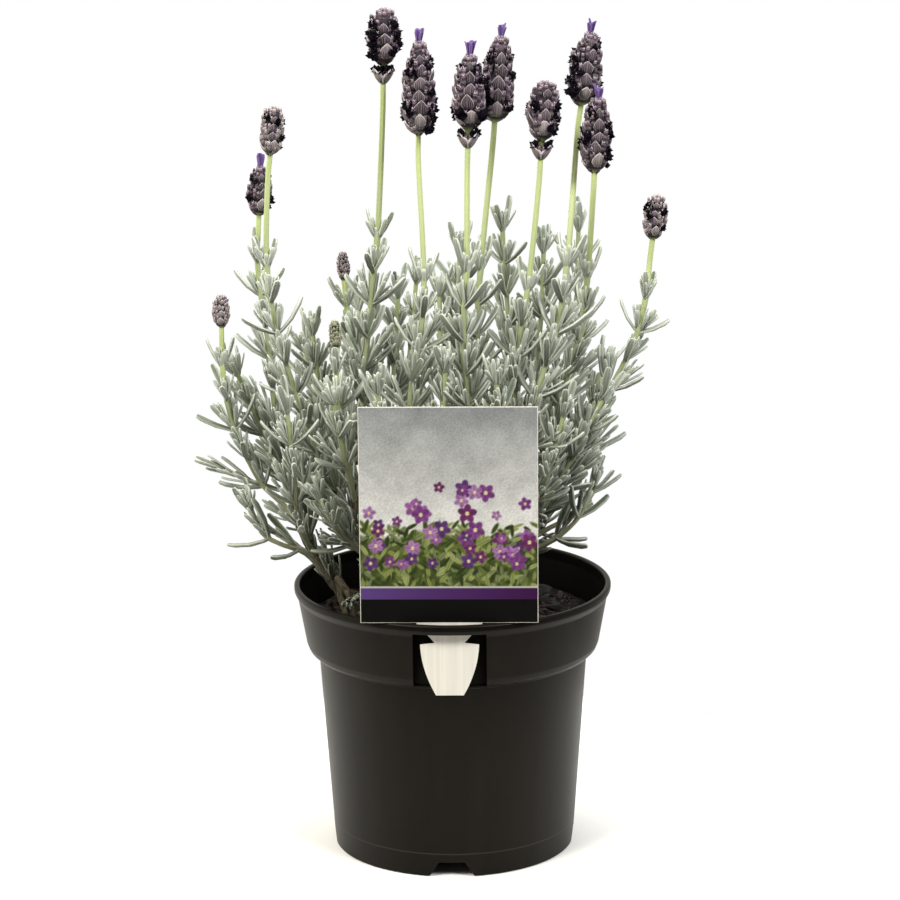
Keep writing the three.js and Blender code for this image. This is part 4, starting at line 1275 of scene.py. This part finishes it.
def pot_profile():
    """The pot's section, round its outside from the middle of its foot, and back inside."""
    return [
        (0, 0),
        (FOOT_RADIUS, 0),
        (FOOT_RADIUS + FOOT_SLOPE, CHANNEL_HEIGHT),
        (wall_radius(CHANNEL_HEIGHT) - WALL, CHANNEL_HEIGHT),
        (wall_radius(0) - WALL, 0),
        (wall_radius(0), 0),
        (SHOULDER_RADIUS, SHOULDER_HEIGHT),
        (SHOULDER_RADIUS + 3.4, SHOULDER_HEIGHT + 1.2),
        (COLLAR_RADIUS - 1.4, SHOULDER_HEIGHT + 4),
        (COLLAR_RADIUS, COLLAR_HEIGHT),
        (RIM_RADIUS - 2.3, BEAD_HEIGHT - 1.8),
        (RIM_RADIUS - 1.1, BEAD_HEIGHT + 0.4),
        (RIM_RADIUS - 0.1, BEAD_HEIGHT + 2.4),
        (RIM_RADIUS, POT_HEIGHT - 0.9),
        (RIM_RADIUS - 0.9, POT_HEIGHT),
        (BEAD_INNER + 0.6, POT_HEIGHT),
        (BEAD_INNER, POT_HEIGHT - 0.9),
        (BEAD_INNER - 0.1, BEAD_HEIGHT - 0.4),
        (COLLAR_RADIUS - WALL, COLLAR_HEIGHT + 0.3),
        (COLLAR_RADIUS - 3, COLLAR_HEIGHT - 2.6),
        (SHOULDER_RADIUS + 2.2, SHOULDER_HEIGHT + 2.7),
        (SHOULDER_RADIUS - WALL, SHOULDER_HEIGHT + 1.4),
        (wall_radius(CHANNEL_HEIGHT + FLOOR) - WALL, CHANNEL_HEIGHT + FLOOR),
        (FOOT_RADIUS + FOOT_SLOPE - 1.4, CHANNEL_HEIGHT + FLOOR),
        (FOOT_RADIUS - 1.4, FLOOR),
        (0, FLOOR),
    ]


def front_sector(name, profile, half):
    """The front part of a turned ring, up to a half width from the middle."""
    radius, height = np.array(profile[::-1], float).T
    slices = []
    for share in np.linspace(-1, 1, WINDOW_SLICES):
        x = half * share
        slices.append(np.column_stack([np.full(len(radius), x), -np.sqrt(radius ** 2 - x * x), height]))
    return rings_object(name, slices)


def window_block():
    """The thicker wall round the window, with cheeks beside it."""
    return front_sector("window_block", [
        (WINDOW_BACK - WALL, SHOULDER_HEIGHT + 1.4),
        (WINDOW_BACK + 0.8, SHOULDER_HEIGHT + 2.4),
        (COLLAR_RADIUS - 0.7, COLLAR_HEIGHT),
        (BEAD_INNER + 0.6, BEAD_HEIGHT),
        (BEAD_INNER + 0.6, POT_HEIGHT - 1.5),
        (WINDOW_BACK - WALL, POT_HEIGHT - 1.5),
    ], WINDOW_HALF + WINDOW_CHEEK)


def front_cut(name, back, front, low, high, half):
    return front_sector(name, [(back, low), (front, low), (front, high), (back, high)], half)


def notch_cut(turn):
    flare = (NOTCH_WIDE - NOTCH_NARROW) / 2 / NOTCH_HEIGHT
    outline = [
        (-NOTCH_WIDE / 2 - flare, -1), (NOTCH_WIDE / 2 + flare, -1),
        (NOTCH_NARROW / 2, NOTCH_HEIGHT), (-NOTCH_NARROW / 2, NOTCH_HEIGHT),
    ]
    rings = [np.array([(x, -depth, z) for x, z in outline]) for depth in (NOTCH_INNER, NOTCH_OUTER)]
    turn = np.array(Matrix.Rotation(turn, 3, "Z")).T
    return rings_object("notch", [ring @ turn for ring in rings])


def drain_cut(turn):
    x, y = DRAIN_CIRCLE * math.sin(turn), -DRAIN_CIRCLE * math.cos(turn)
    low, high = CHANNEL_HEIGHT - 1, CHANNEL_HEIGHT + FLOOR + 1
    return rings_object("drain", [circle(DRAIN_RADIUS, z, DRAIN_SIDES, x, y) for z in (low, high)])


def make_pot(finish):
    """The pot turned in one wall, with its window, slot, notches and drain holes cut."""
    rings = [circle(radius, height, POT_SIDES) if radius > 0 else np.array([[0, 0, height]])
             for radius, height in rounded(pot_profile())]
    pot = rings_object("pot_moulded", rings)
    cut(pot, window_block(), "UNION")
    cut(pot, front_cut("window", WINDOW_BACK, RIM_RADIUS + 4, WINDOW_LOW, BEAD_HEIGHT, WINDOW_HALF))
    cut(pot, front_cut("slot", WINDOW_BACK, BEAD_INNER, BEAD_HEIGHT - 1, POT_HEIGHT + 5, WINDOW_HALF))
    for k in range(NOTCHES):
        cut(pot, notch_cut(k / NOTCHES * 2 * math.pi))
    for k in range(DRAIN_HOLES):
        cut(pot, drain_cut((k + 0.5) / DRAIN_HOLES * 2 * math.pi))
    smooth(coated(pot, finish), 32)
    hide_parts("pot")
    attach(pot, "root")


# ---- soil ----

def soil_height(x, y):
    """The lumpy surface of the potting mix."""
    coarse = noise.noise(Vector((x / 16, y / 16, 3.1)))
    fine = noise.noise(Vector((x / 4.5, y / 4.5, 7.7)))
    return SOIL_SURFACE + SOIL_LUMP * 0.75 * coarse + 0.8 * fine


def soil_object(finish):
    """The potting mix that fills the pot, with a lumpy top and a recess behind the window."""
    channel_top = CHANNEL_HEIGHT + FLOOR + GAP
    reach = COLLAR_RADIUS - WALL - GAP + (SOIL_SURFACE - COLLAR_HEIGHT) * 0.12
    sides = [
        (FOOT_RADIUS - 2.2, FLOOR + GAP),
        (FOOT_RADIUS + FOOT_SLOPE - 2.2, channel_top),
        (wall_radius(channel_top) - WALL - GAP, channel_top),
        (SHOULDER_RADIUS - WALL - GAP, SHOULDER_HEIGHT + 1.6),
        (SHOULDER_RADIUS + 1.8, SHOULDER_HEIGHT + 3.4),
        (COLLAR_RADIUS - 3.4, COLLAR_HEIGHT - 2),
        (COLLAR_RADIUS - WALL - GAP, COLLAR_HEIGHT + 0.4),
        (reach, SOIL_SURFACE - 1),
    ]
    rings = [np.array([[0, 0, FLOOR + GAP]])]
    rings += [circle(radius, height, SOIL_SIDES) for radius, height in sides]
    for share in np.linspace(0.985, 0.03, SOIL_RINGS):
        ring = circle(reach * share, 0, SOIL_SIDES)
        ring[:, 2] = [soil_height(x, y) for x, y in ring[:, :2]]
        rings.append(ring)
    rings.append(np.array([[0, 0, soil_height(0, 0)]]))
    soil = rings_object("soil_bed", rings, None, finish)
    cut(soil, front_cut("recess", WINDOW_BACK - WALL - GAP, RIM_RADIUS, SHOULDER_HEIGHT - 2, POT_HEIGHT,
                        WINDOW_HALF + WINDOW_CHEEK + GAP))
    return smooth(soil, 60)


def chip_shape(name, seed):
    """An angular chip of bark, longest along X."""
    loft = Loft()
    for k, (share, radius) in enumerate(CHIP_RINGS):
        ring = circle(radius, share, CHIP_SIDES)
        for i in range(CHIP_SIDES):
            ring[i, :2] *= 0.7 + 0.6 * chance(81, seed, k, i)
            ring[i, 2] += 0.12 * off(82, seed, k, i)
        loft.ring(ring[:, [2, 0, 1]] * np.array([1, 0.62, 0.34]), 0.5, [0.5] * CHIP_SIDES)
    return loft.piece(name)


def chip_spots():
    """Chips of bark lying over the potting mix, some of them half sunk in it."""
    spots = Spots()
    reach = COLLAR_RADIUS - WALL - 6
    for k in range(CHIPS):
        turn = 2 * math.pi * chance(83, k)
        radius = reach * math.sqrt(chance(84, k))
        x, y = radius * math.cos(turn), radius * math.sin(turn)
        if y < -WINDOW_BACK + 6 and abs(x) < WINDOW_HALF + 5:
            continue
        size = 2.2 + 8.5 * chance(85, k) ** 3
        angles = (chance(86, k) * 2 * math.pi, 1.1 * off(87, k), chance(88, k) * 2 * math.pi)
        turned = Matrix.Identity(3)
        for angle, axis in zip(angles, "ZYX"):
            turned = turned @ Matrix.Rotation(angle, 3, axis)
        place = (x, y, soil_height(x, y) + size * 0.08)
        spots.add(place, tuple(turned.col), (size,) * 3, int(CHIP_SHAPES * chance(90, k)), chance(91, k))
    return spots


def make_soil(tree, soil_finish, chip_finish):
    """The bed of potting mix, and the bark chips that lie on it."""
    bed = soil_object(soil_finish)
    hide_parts("soil")
    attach(bed, "root")
    shapes = shape_set("chips", [chip_shape(f"chip_{k}", k) for k in range(CHIP_SHAPES)])
    chips = chip_spots().raised("bark_chips", tree, shapes, chip_finish)
    drop_shapes(shapes)
    chips.data.set_sharp_from_angle(angle=30 * DEGREE)
    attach(chips, "root")


# ---- label ----

def label_outline():
    """The label's edge, anticlockwise as seen from the front."""
    card_low = POT_HEIGHT + GAP
    bulge = (BARB_HALF - 0.6, (TONGUE_LOW + BARB_HEIGHT) / 2)
    barb = np.array([(TONGUE_HALF, TONGUE_LOW), bulge, (BARB_HALF, BARB_HEIGHT)])
    right = [tuple(curved(*barb, k / 12)) for k in range(13)]
    right += [
        (WAIST_HALF, WAIST_HEIGHT), (NECK_HALF, NECK_LOW), (FOLD_HALF, FOLD_LOW), (FOLD_HALF, card_low),
        (CARD_HALF, card_low), (CARD_HALF, CARD_TOP),
    ]
    return right + [(-x, z) for x, z in reversed(right)]


def make_label(board, ink):
    """The label's card with its tongue and barbs, and the printed film on its front."""
    outline = label_outline()
    depths = (LABEL_FRONT + LABEL_THICKNESS, LABEL_FRONT)
    rings = [np.array([(x, y, z) for x, z in outline]) for y in depths]
    card = rings_object("label_board", rings, None, board)
    changed(card, "BEVEL", width=0.12 * MM, segments=2, angle_limit=50 * DEGREE)
    smooth(card, 30)
    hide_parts("label")
    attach(card, "root")
    film = print_object(ink)
    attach(film, "root")


def soft_noise(shape, cell, seed):
    """Smooth random values from 0 to 1 over a grid, with a cell's size in steps."""
    places = [np.arange(count) / size for count, size in zip(shape, cell)]
    coarse = np.random.default_rng(seed).random([int(count / size) + 3 for count, size in zip(shape, cell)])
    r, c = (place.astype(int) for place in places)
    fr, fc = ((place - whole) ** 2 * (3 - 2 * (place - whole)) for place, whole in zip(places, (r, c)))
    low, high = (
        coarse[np.ix_(row, c)] * (1 - fc) + coarse[np.ix_(row, c + 1)] * fc for row in (r, r + 1)
    )
    return low * (1 - fr[:, None]) + high * fr[:, None]


def blend(picture, other, share):
    return picture + (np.asarray(other, float) - picture) * np.asarray(share, float)[..., None]


def oval(picture, x, z, middle, long, wide, angle, ink):
    """Draws an oval leaf or petal, a little darker along its middle."""
    c, s = math.cos(angle), math.sin(angle)
    u = (x - middle[0]) * c + (z - middle[1]) * s
    v = (z - middle[1]) * c - (x - middle[0]) * s
    vein = 1 - 0.25 * np.clip(1 - np.abs(v) / 0.5, 0, 1)
    share = np.clip((1 - np.hypot(u / long, v / wide)) * wide / PRINT_STEP + 0.5, 0, 1)
    return blend(picture, vein[..., None] * np.array(ink, float), share)


def blossom(picture, x, z, middle, size, turn, ink):
    """Draws an open blossom: five round petals and a pale eye."""
    for k in range(BLOSSOM_PETALS):
        angle = turn + k * 2 * math.pi / BLOSSOM_PETALS
        petal = (middle[0] + size * 0.62 * math.cos(angle), middle[1] + size * 0.62 * math.sin(angle))
        shade = tuple(value * (0.86 + 0.07 * (k % 3)) for value in ink)
        picture = oval(picture, x, z, petal, size * 0.56, size * 0.42, angle, shade)
    return oval(picture, x, z, middle, size * 0.24, size * 0.24, 0, (226, 214, 160))


def print_picture(x, z):
    """The colours of the print: open blossoms over leaves, on a speckled silver ground."""
    plain = np.zeros((*x.shape, 3))
    rise = np.clip((z - PRINT_SKY) / (CARD_TOP - PRINT_SKY), 0, 1)
    picture = blend(plain + (214, 213, 208), (142, 145, 146), rise ** 1.3)
    cloud = soft_noise(x.shape, (26, 34), 3) * 0.6 + soft_noise(x.shape, (9, 11), 4) * 0.4
    grain = np.random.default_rng(5).random(x.shape)
    picture = picture * (0.88 + 0.2 * cloud + 0.16 * (grain - 0.5))[..., None]
    under = blend(plain + (44, 52, 26), (84, 94, 48), soft_noise(x.shape, (5, 5), 7))
    edge = PRINT_MEADOW + 8 * soft_noise(x.shape, (400, 16), 6)
    picture = blend(picture, under, np.clip((edge - z) / 3, 0, 1))
    random = np.random.default_rng(9)
    for _ in range(PRINT_LEAVES):
        middle = (random.uniform(-CARD_HALF, CARD_HALF), random.uniform(PRINT_STRIPE - 2, PRINT_TIPS))
        ink = LEAF_INKS[random.integers(len(LEAF_INKS))]
        angle = random.uniform(0.2, 2.9)
        length, width = random.uniform(2.6, 4.6), random.uniform(0.9, 1.5)
        picture = oval(picture, x, z, middle, length, width, angle, ink)
    for _ in range(PRINT_BLOSSOMS):
        height = PRINT_BLOOM + 50 * random.uniform(0, 1) ** 1.6
        middle = (random.uniform(-50, 50), height)
        ink = PETAL_INKS[random.integers(len(PETAL_INKS))]
        picture = blossom(picture, x, z, middle, random.uniform(2.6, 5.2), random.uniform(0, 6), ink)
    across = np.clip((x + CARD_HALF) / (2 * CARD_HALF), 0, 1)
    picture = blend(picture, blend(plain + (84, 60, 118), (54, 20, 62), across), z < PRINT_STRIPE)
    picture = blend(picture, (176, 174, 166), np.abs(z - PRINT_STRIPE) < 0.6)
    picture = blend(picture, (12, 12, 11), z < PRINT_FOOT)
    return np.clip(picture / 255, 0, 1)


def print_object(ink):
    """The printed film on the front of the card, with its colours held at its points."""
    half, top = CARD_HALF - PRINT_EDGE, CARD_TOP - PRINT_EDGE
    columns = round(2 * half / PRINT_STEP) + 1
    rows = round((top - PRINT_LOW) / PRINT_STEP) + 1
    x, z = np.meshgrid(np.linspace(-half, half, columns), np.linspace(PRINT_LOW, top, rows))
    front = np.column_stack([x.ravel(), np.full(x.size, LABEL_FRONT - 0.06), z.ravel()])
    number = np.arange(x.size).reshape(rows, columns)
    faces = np.stack([number[:-1, :-1], number[:-1, 1:], number[1:, 1:], number[1:, :-1]], -1)
    faces = [tuple(face) for face in faces.reshape(-1, 4).tolist()]
    edge = [*number[0], *number[1:, -1], *number[-1, -2::-1], *number[-2:0:-1, 0]]
    back = front[edge] + np.array([0, 0.05, 0])
    behind = list(range(x.size, x.size + len(edge)))
    for k in range(len(edge)):
        j = (k + 1) % len(edge)
        faces.append((int(edge[j]), int(edge[k]), behind[k], behind[j]))
    faces.append(tuple(reversed(behind)))
    film = mesh_object("label_print", np.vstack([front, back]), faces, None, ink)
    linear = to_linear(print_picture(x, z).reshape(-1, 3))
    linear = np.vstack([linear, linear[edge]])
    layer = film.data.color_attributes.new("ink", "FLOAT_COLOR", "POINT")
    layer.data.foreach_set("color", np.column_stack([linear, np.ones(len(linear))]).ravel())
    return film


# ---- finishes ----

def new_finish(name):
    """A bare material, and add_node for its own tree."""
    material = bpy.data.materials.new(name)
    material.use_nodes = True
    material.node_tree.nodes.clear()
    return material, partial(add_node, material.node_tree)


def cells(size):
    """A pattern's scale, which is the number of its cells in a metre, from their real size."""
    return 1 / (np.array(size) * MM)


def finished(material, **inputs):
    """Gives a material its surface, with the shader's inputs by their names."""
    tree = material.node_tree
    named = {SHADER_INPUTS[key]: value for key, value in inputs.items()}
    add_node(tree, "material output", add_node(tree, "surface", named))
    return material


def pot_finish():
    """Injection-moulded polypropylene, carbon black, satin, with a trace of dust."""
    material, node = new_finish("moulded_polypropylene_black")
    where = node("place")
    dust = node("noise", where, cells(DUST_CLOUDS), 6)
    flow = node("stretch", where, cells(FLOW_LINES))
    streak = node("noise", flow, 1)
    worn = node("product", dust, streak)
    tint = node("range", worn, 0.16, 0.42)
    base = node("mix", tint, "#0a0a09", "#12110f")
    height = node("axes", where)["Z"]
    line = node("math", height, SCRIBED_LINE * MM, operation="SUBTRACT")
    near = node("math", line, operation="ABSOLUTE")
    scribe = node("range", near, 0.2 * MM, 0.5 * MM, 1, 0)
    marked = node("mix", scribe, base, "#2b2924")
    grain = node("noise", where, cells(PLASTIC_GRAIN), 2)
    bump = node("bump", grain, 0.12, 0.1 * MM)
    rough = node("range", dust, 0, 1, 0.34, 0.42)
    return finished(material, colour=marked, roughness=rough, bump=bump, ior=1.49, gloss=0.12,
                    gloss_tint="#fff0dc")


def soil_finish():
    """Composted bark and peat, damp and nearly black, fully matt."""
    material, node = new_finish("composted_bark_and_peat")
    crumb = node("noise", node("place"), cells(SOIL_CRUMBS), 8)
    base = node("mix", crumb, "#070504", "#1c1510")
    bump = node("bump", crumb, 0.9, 1.2 * MM)
    return finished(material, colour=base, roughness=0.95, bump=bump, gloss=0.15)


def chip_finish():
    """Pine bark chips, damp, from nearly black to reddish brown, with a fibrous grain."""
    material, node = new_finish("pine_bark_chips")
    stops = ((0, "#0b0806"), (0.72, "#1c140f"), (1, "#4a3829"))
    shade = node("ramp", node("attribute", attribute_name="tone"), stops=stops)
    fibre = node("noise", node("place"), cells(CHIP_FIBRES), 4)
    base = node("mix", fibre, shade, "#0d0907")
    bump = node("bump", fibre, 0.6, 0.4 * MM)
    return finished(material, colour=base, roughness=0.85, bump=bump)


def board_finish():
    """Die-cut white polystyrene sheet, with faint streaks along its run."""
    material, node = new_finish("die_cut_polystyrene_white")
    run = node("stretch", node("place"), cells(SHEET_STREAKS))
    base = node("mix", node("noise", run, 1), "#f2efe8", "#cfcabd")
    return finished(material, colour=base, roughness=0.35, ior=1.55)


def ink_finish():
    """Offset ink under clear gloss varnish, on polystyrene sheet."""
    material, node = new_finish("offset_ink_under_varnish")
    ink = node("colour attribute", attribute_name="ink")
    return finished(material, colour=ink, roughness=0.42, gloss=0.12, coat=0.06, coat_roughness=0.2)


def leaf_finish():
    """Lavender leaf, felted with white hairs: silver over grey-green, palest at its margin, with painted
    shade in its groove, on its underside and on leaves deep in the crown.
    """
    material, node = new_finish("felted_lavender_leaf")
    tone, along, edge = (node("attribute", attribute_name=name) for name in ("tone", "along", "edge"))
    # The dark olive end of tone is partly painted shade on leaves low down and inside the crown.
    green = node("mix", tone, "#3d482a", "#a2ab9d")
    young = node("mix", node("product", along, tone), green, "#bcc3b7")
    # Painted shade: the groove and the underside darken towards #47523d.
    middle = node("range", edge, 0, 0.5, 0.55, 0)
    groove_and_underside_shaded = node("mix", middle, young, "#47523d")
    rim = node("range", edge, 0.62, 1, 0, 0.75)
    woolly = node("range", tone, 0, 1, 0.5, 1)
    felted = node("mix", node("product", rim, woolly), groove_and_underside_shaded, "#eceee2")
    felt = node("noise", node("place"), cells(LEAF_FELT), 4)
    mottled = node("mix", felt, felted, "#bcbcbc", blend_type="SOFT_LIGHT")
    bump = node("bump", felt, 0.5, 0.15 * MM)
    return finished(material, colour=mottled, roughness=0.8, bump=bump, gloss=0.2, sheen=0.25,
                    sheen_roughness=0.5)


def stem_finish():
    """Young lavender stem: brown-grey low down, downy among the leaves, pale lime where bare."""
    material, node = new_finish("downy_lavender_stem")
    bare, tone = (node("attribute", attribute_name=name) for name in ("bare", "tone"))
    base = node("mix", bare, "#9aa47e", "#c4d38f")
    aged = node("mix", tone, base, "#6a6450")
    run = node("stretch", node("place"), cells(STEM_DOWN))
    down = node("noise", run, 1)
    haired = node("mix", down, aged, "#c4c4bc", blend_type="SOFT_LIGHT")
    bump = node("bump", down, 0.4, 0.15 * MM)
    return finished(material, colour=haired, roughness=0.65, bump=bump, sheen=0.2)


def bark_finish():
    """Old lavender wood: grey-brown bark that peels in long fibres."""
    material, node = new_finish("stringy_lavender_bark")
    run = node("stretch", node("place"), cells(BARK_FIBRES))
    fibre = node("noise", run, 1, 6)
    shade = node("ramp", fibre, stops=((0.32, "#1e1913"), (0.68, "#615a44")))
    bump = node("bump", fibre, 0.8, 0.5 * MM)
    return finished(material, colour=shade, roughness=0.9, bump=bump)


def bract_finish(name, dark, pale, rim_colour, flush_colour, depth):
    """Papery, half-dry lavender bracts: brown with a violet flush, veins and woolly margins, and painted
    shade at the foot of each bract and calyx.
    """
    material, node = new_finish(name)
    where = node("place")
    tone, along, edge = (node("attribute", attribute_name=name) for name in ("tone", "along", "edge"))
    base = node("mix", tone, dark, pale)
    # Painted shade: each bract and calyx darkens towards its foot, between its neighbours; depth sets how
    # dark it gets.
    foot = node("range", along, 0, 0.9, depth, 0)
    shaded = node("mix", foot, base, "#1d161a")
    violet = node("range", node("noise", where, cells(BRACT_FLUSH)), 0.45, 0.7, 0, 0.4)
    flushed = node("mix", violet, shaded, flush_colour)
    wave = node("math", node("product", edge, math.pi * BRACT_SPAN / BRACT_VEINS), operation="SINE")
    vein = node("range", wave, 0, 1, 0, 0.32)
    lined = node("mix", vein, flushed, rim_colour)
    rim = node("range", edge, 0.8, 1, 0, 0.8)
    edged = node("mix", rim, lined, rim_colour)
    wool = node("noise", where, cells(BRACT_WOOL), 5)
    woolly = node("mix", wool, edged, "#b9b1b2", blend_type="OVERLAY")
    bump = node("bump", wool, 0.8, 0.3 * MM)
    return finished(material, colour=woolly, roughness=0.85, bump=bump, gloss=0.15, sheen=0.12)


def plain_finish(name, value, low, high, roughness, **gloss):
    """Soft flower tissue, whose colour goes from one to another with a value at its points."""
    material, node = new_finish(name)
    base = node("mix", node("attribute", attribute_name=value), low, high)
    return finished(material, colour=base, roughness=roughness, **gloss)


# ---- the whole plant ----

def make_plant(tree):
    """The leafy stems and the low side shoots, from one set of leaf shapes."""
    leaf, stem = leaf_finish(), stem_finish()
    blades = shape_set("blades", [
        leaf_shape("blade_0", ROOT_ANGLE - TIP_ANGLE, LEAF_SECTION, LONG_LEAF),
        leaf_shape("blade_1", TOP_ROOT_ANGLE - TOP_TIP_ANGLE, LEAF_SECTION, LONG_LEAF),
        leaf_shape("blade_2", LITTLE_BEND, LITTLE_SECTION, LITTLE_LEAF),
        leaf_shape("blade_3", 1, TWIG_SECTION, TWIG),
    ])
    make_low_shoots(tree, blades, leaf)
    for number in range(len(SHOOTS)):
        make_leafy_stem(number, tree, blades, leaf, stem)
    drop_shapes(blades)


def make_flower_heads(tree):
    """The flower heads, from their parts' shapes and finishes."""
    shapes = {
        "bracts": shape_set("bracts", [bract_shape(f"bract_{k}", k) for k in range(3)]),
        "calyces": shape_set("calyces", [calyx_shape("calyx")]),
        "florets": shape_set("florets", [floret_shape(f"floret_{k}", k) for k in range(3)]),
        "petals": shape_set("petals", [petal_shape("petal")]),
        "low_bracts": shape_set("low_bracts", [bract_shape(f"low_bract_{k}", k + 3) for k in range(3)]),
    }
    finishes = {
        # The spindle, dull violet inside the head and green where it is bare.
        "core": plain_finish("lavender_spindle", "tone", "#2c222b", "#9aa86a", 0.8),
        # The last value of each is how dark the painted shade at the foot of each bract or calyx gets.
        "bracts": bract_finish("papery_bract", "#291d26", "#7c6f78", "#d2cbcf", "#5e4866", 0.9),
        "calyces": bract_finish("woolly_calyx", "#251922", "#70606b", "#c6bcc3", "#5e4866", 0.9),
        "low_bracts": bract_finish("grey_young_bract", "#776b71", "#a39a9d", "#e2dcde", "#8f9679", 0.55),
        "green": bract_finish("green_bract", "#7f8a66", "#a5ae8d", "#d2d6c2", "#8a7f84", 0.4),
        # Florets, blackish violet, dry and dull.
        "florets": plain_finish("withered_floret", "edge", "#060409", "#17111e", 0.7, gloss=0.08),
        # The thin petals of the tuft, darker along their middle.
        "petals": plain_finish("violet_tuft_petal", "edge", "#4b3270", "#7d62a2", 0.6),
    }
    for number in range(1, len(HEADS) + 1):
        make_flower_head(number, tree, shapes, finishes)
    for group in shapes.values():
        drop_shapes(group)


# ---- studio ----

def make_camera():
    """A camera that aims at the plant from the photograph's place, with its slight roll."""
    data = bpy.data.cameras.new("camera")
    data.lens = CAMERA_LENS
    data.sensor_width = CAMERA_SENSOR
    data.clip_end = 20
    camera = placed("camera", data)
    aim = np.array(CAMERA_AIM, float)
    place = np.array([
        aim[0] + CAMERA_REACH * math.sin(CAMERA_TURN), -CAMERA_REACH * math.cos(CAMERA_TURN), CAMERA_HEIGHT,
    ])
    look = unit(aim - place)
    right = unit(np.cross(look, np.array([0, 0, 1])))
    up = np.cross(right, look)
    turn = Matrix((swung(right, up, CAMERA_ROLL), swung(up, right, -CAMERA_ROLL), -look)).transposed()
    camera.matrix_world = Matrix.Translation(Vector(place * MM)) @ turn.to_4x4()
    bpy.context.scene.camera = camera


def add_light(name, place, size, power, tint="#ffffff"):
    """A round, soft light that aims at the plant, with its place and size in metres."""
    data = bpy.data.lights.new(name, "AREA")
    data.shape = "DISK"
    data.size = size
    data.energy = power
    data.color = colour(tint)[:3]
    light = placed(name, data)
    light.location = place
    aim = Vector((0, 0, 0.25)) - Vector(place)
    light.rotation_euler = aim.to_track_quat("-Z", "Y").to_euler()


def make_surroundings():
    """A white room that throws less light from the front than from the back and sides."""
    world = bpy.data.worlds.new("white_studio")
    bpy.context.scene.world = world
    world.use_nodes = True
    tree = world.node_tree
    tree.nodes.clear()
    way = add_node(tree, "axes", add_node(tree, "direction"))
    depth = add_node(tree, "range", way["Y"], -0.95, 0, 0.04, 1.05, interpolation_type="SMOOTHSTEP")
    aside = add_node(tree, "range", way["X"], -1, 1, 1.35, 0.48)
    cast = add_node(tree, "background", "#fffbf0", add_node(tree, "product", depth, aside))
    seen = add_node(tree, "background", "#ffffff", 1)
    shown = add_node(tree, "either", add_node(tree, "light path"), cast, seen)
    add_node(tree, "world output", shown)


def make_studio():
    """A pale floor and soft white light, a little stronger from the left."""
    make_surroundings()
    add_light("key", (-1.3, -1.5, 2.3), 1.0, 62, "#fffaf0")
    add_light("fill", (1.4, -1.4, 2.0), 1.0, 50)
    add_light("overhead", (0, 0.3, 2.6), 1.4, 30)
    floor = rings_object("studio_floor", [circle(FLOOR_RADIUS, z, FLOOR_SIDES) for z in (-0.6, -0.4)])
    coated(floor, finished(new_finish("matt_white_paper")[0], colour="#f4f4f2", roughness=0.9))
    bpy.context.scene.view_settings.view_transform = "Standard"


make_camera()
make_studio()
shapes_on_points = scatter_tree()
make_pot(pot_finish())
make_soil(shapes_on_points, soil_finish(), chip_finish())
make_label(board_finish(), ink_finish())
make_woody_base(bark_finish())
make_plant(shapes_on_points)
make_flower_heads(shapes_on_points)
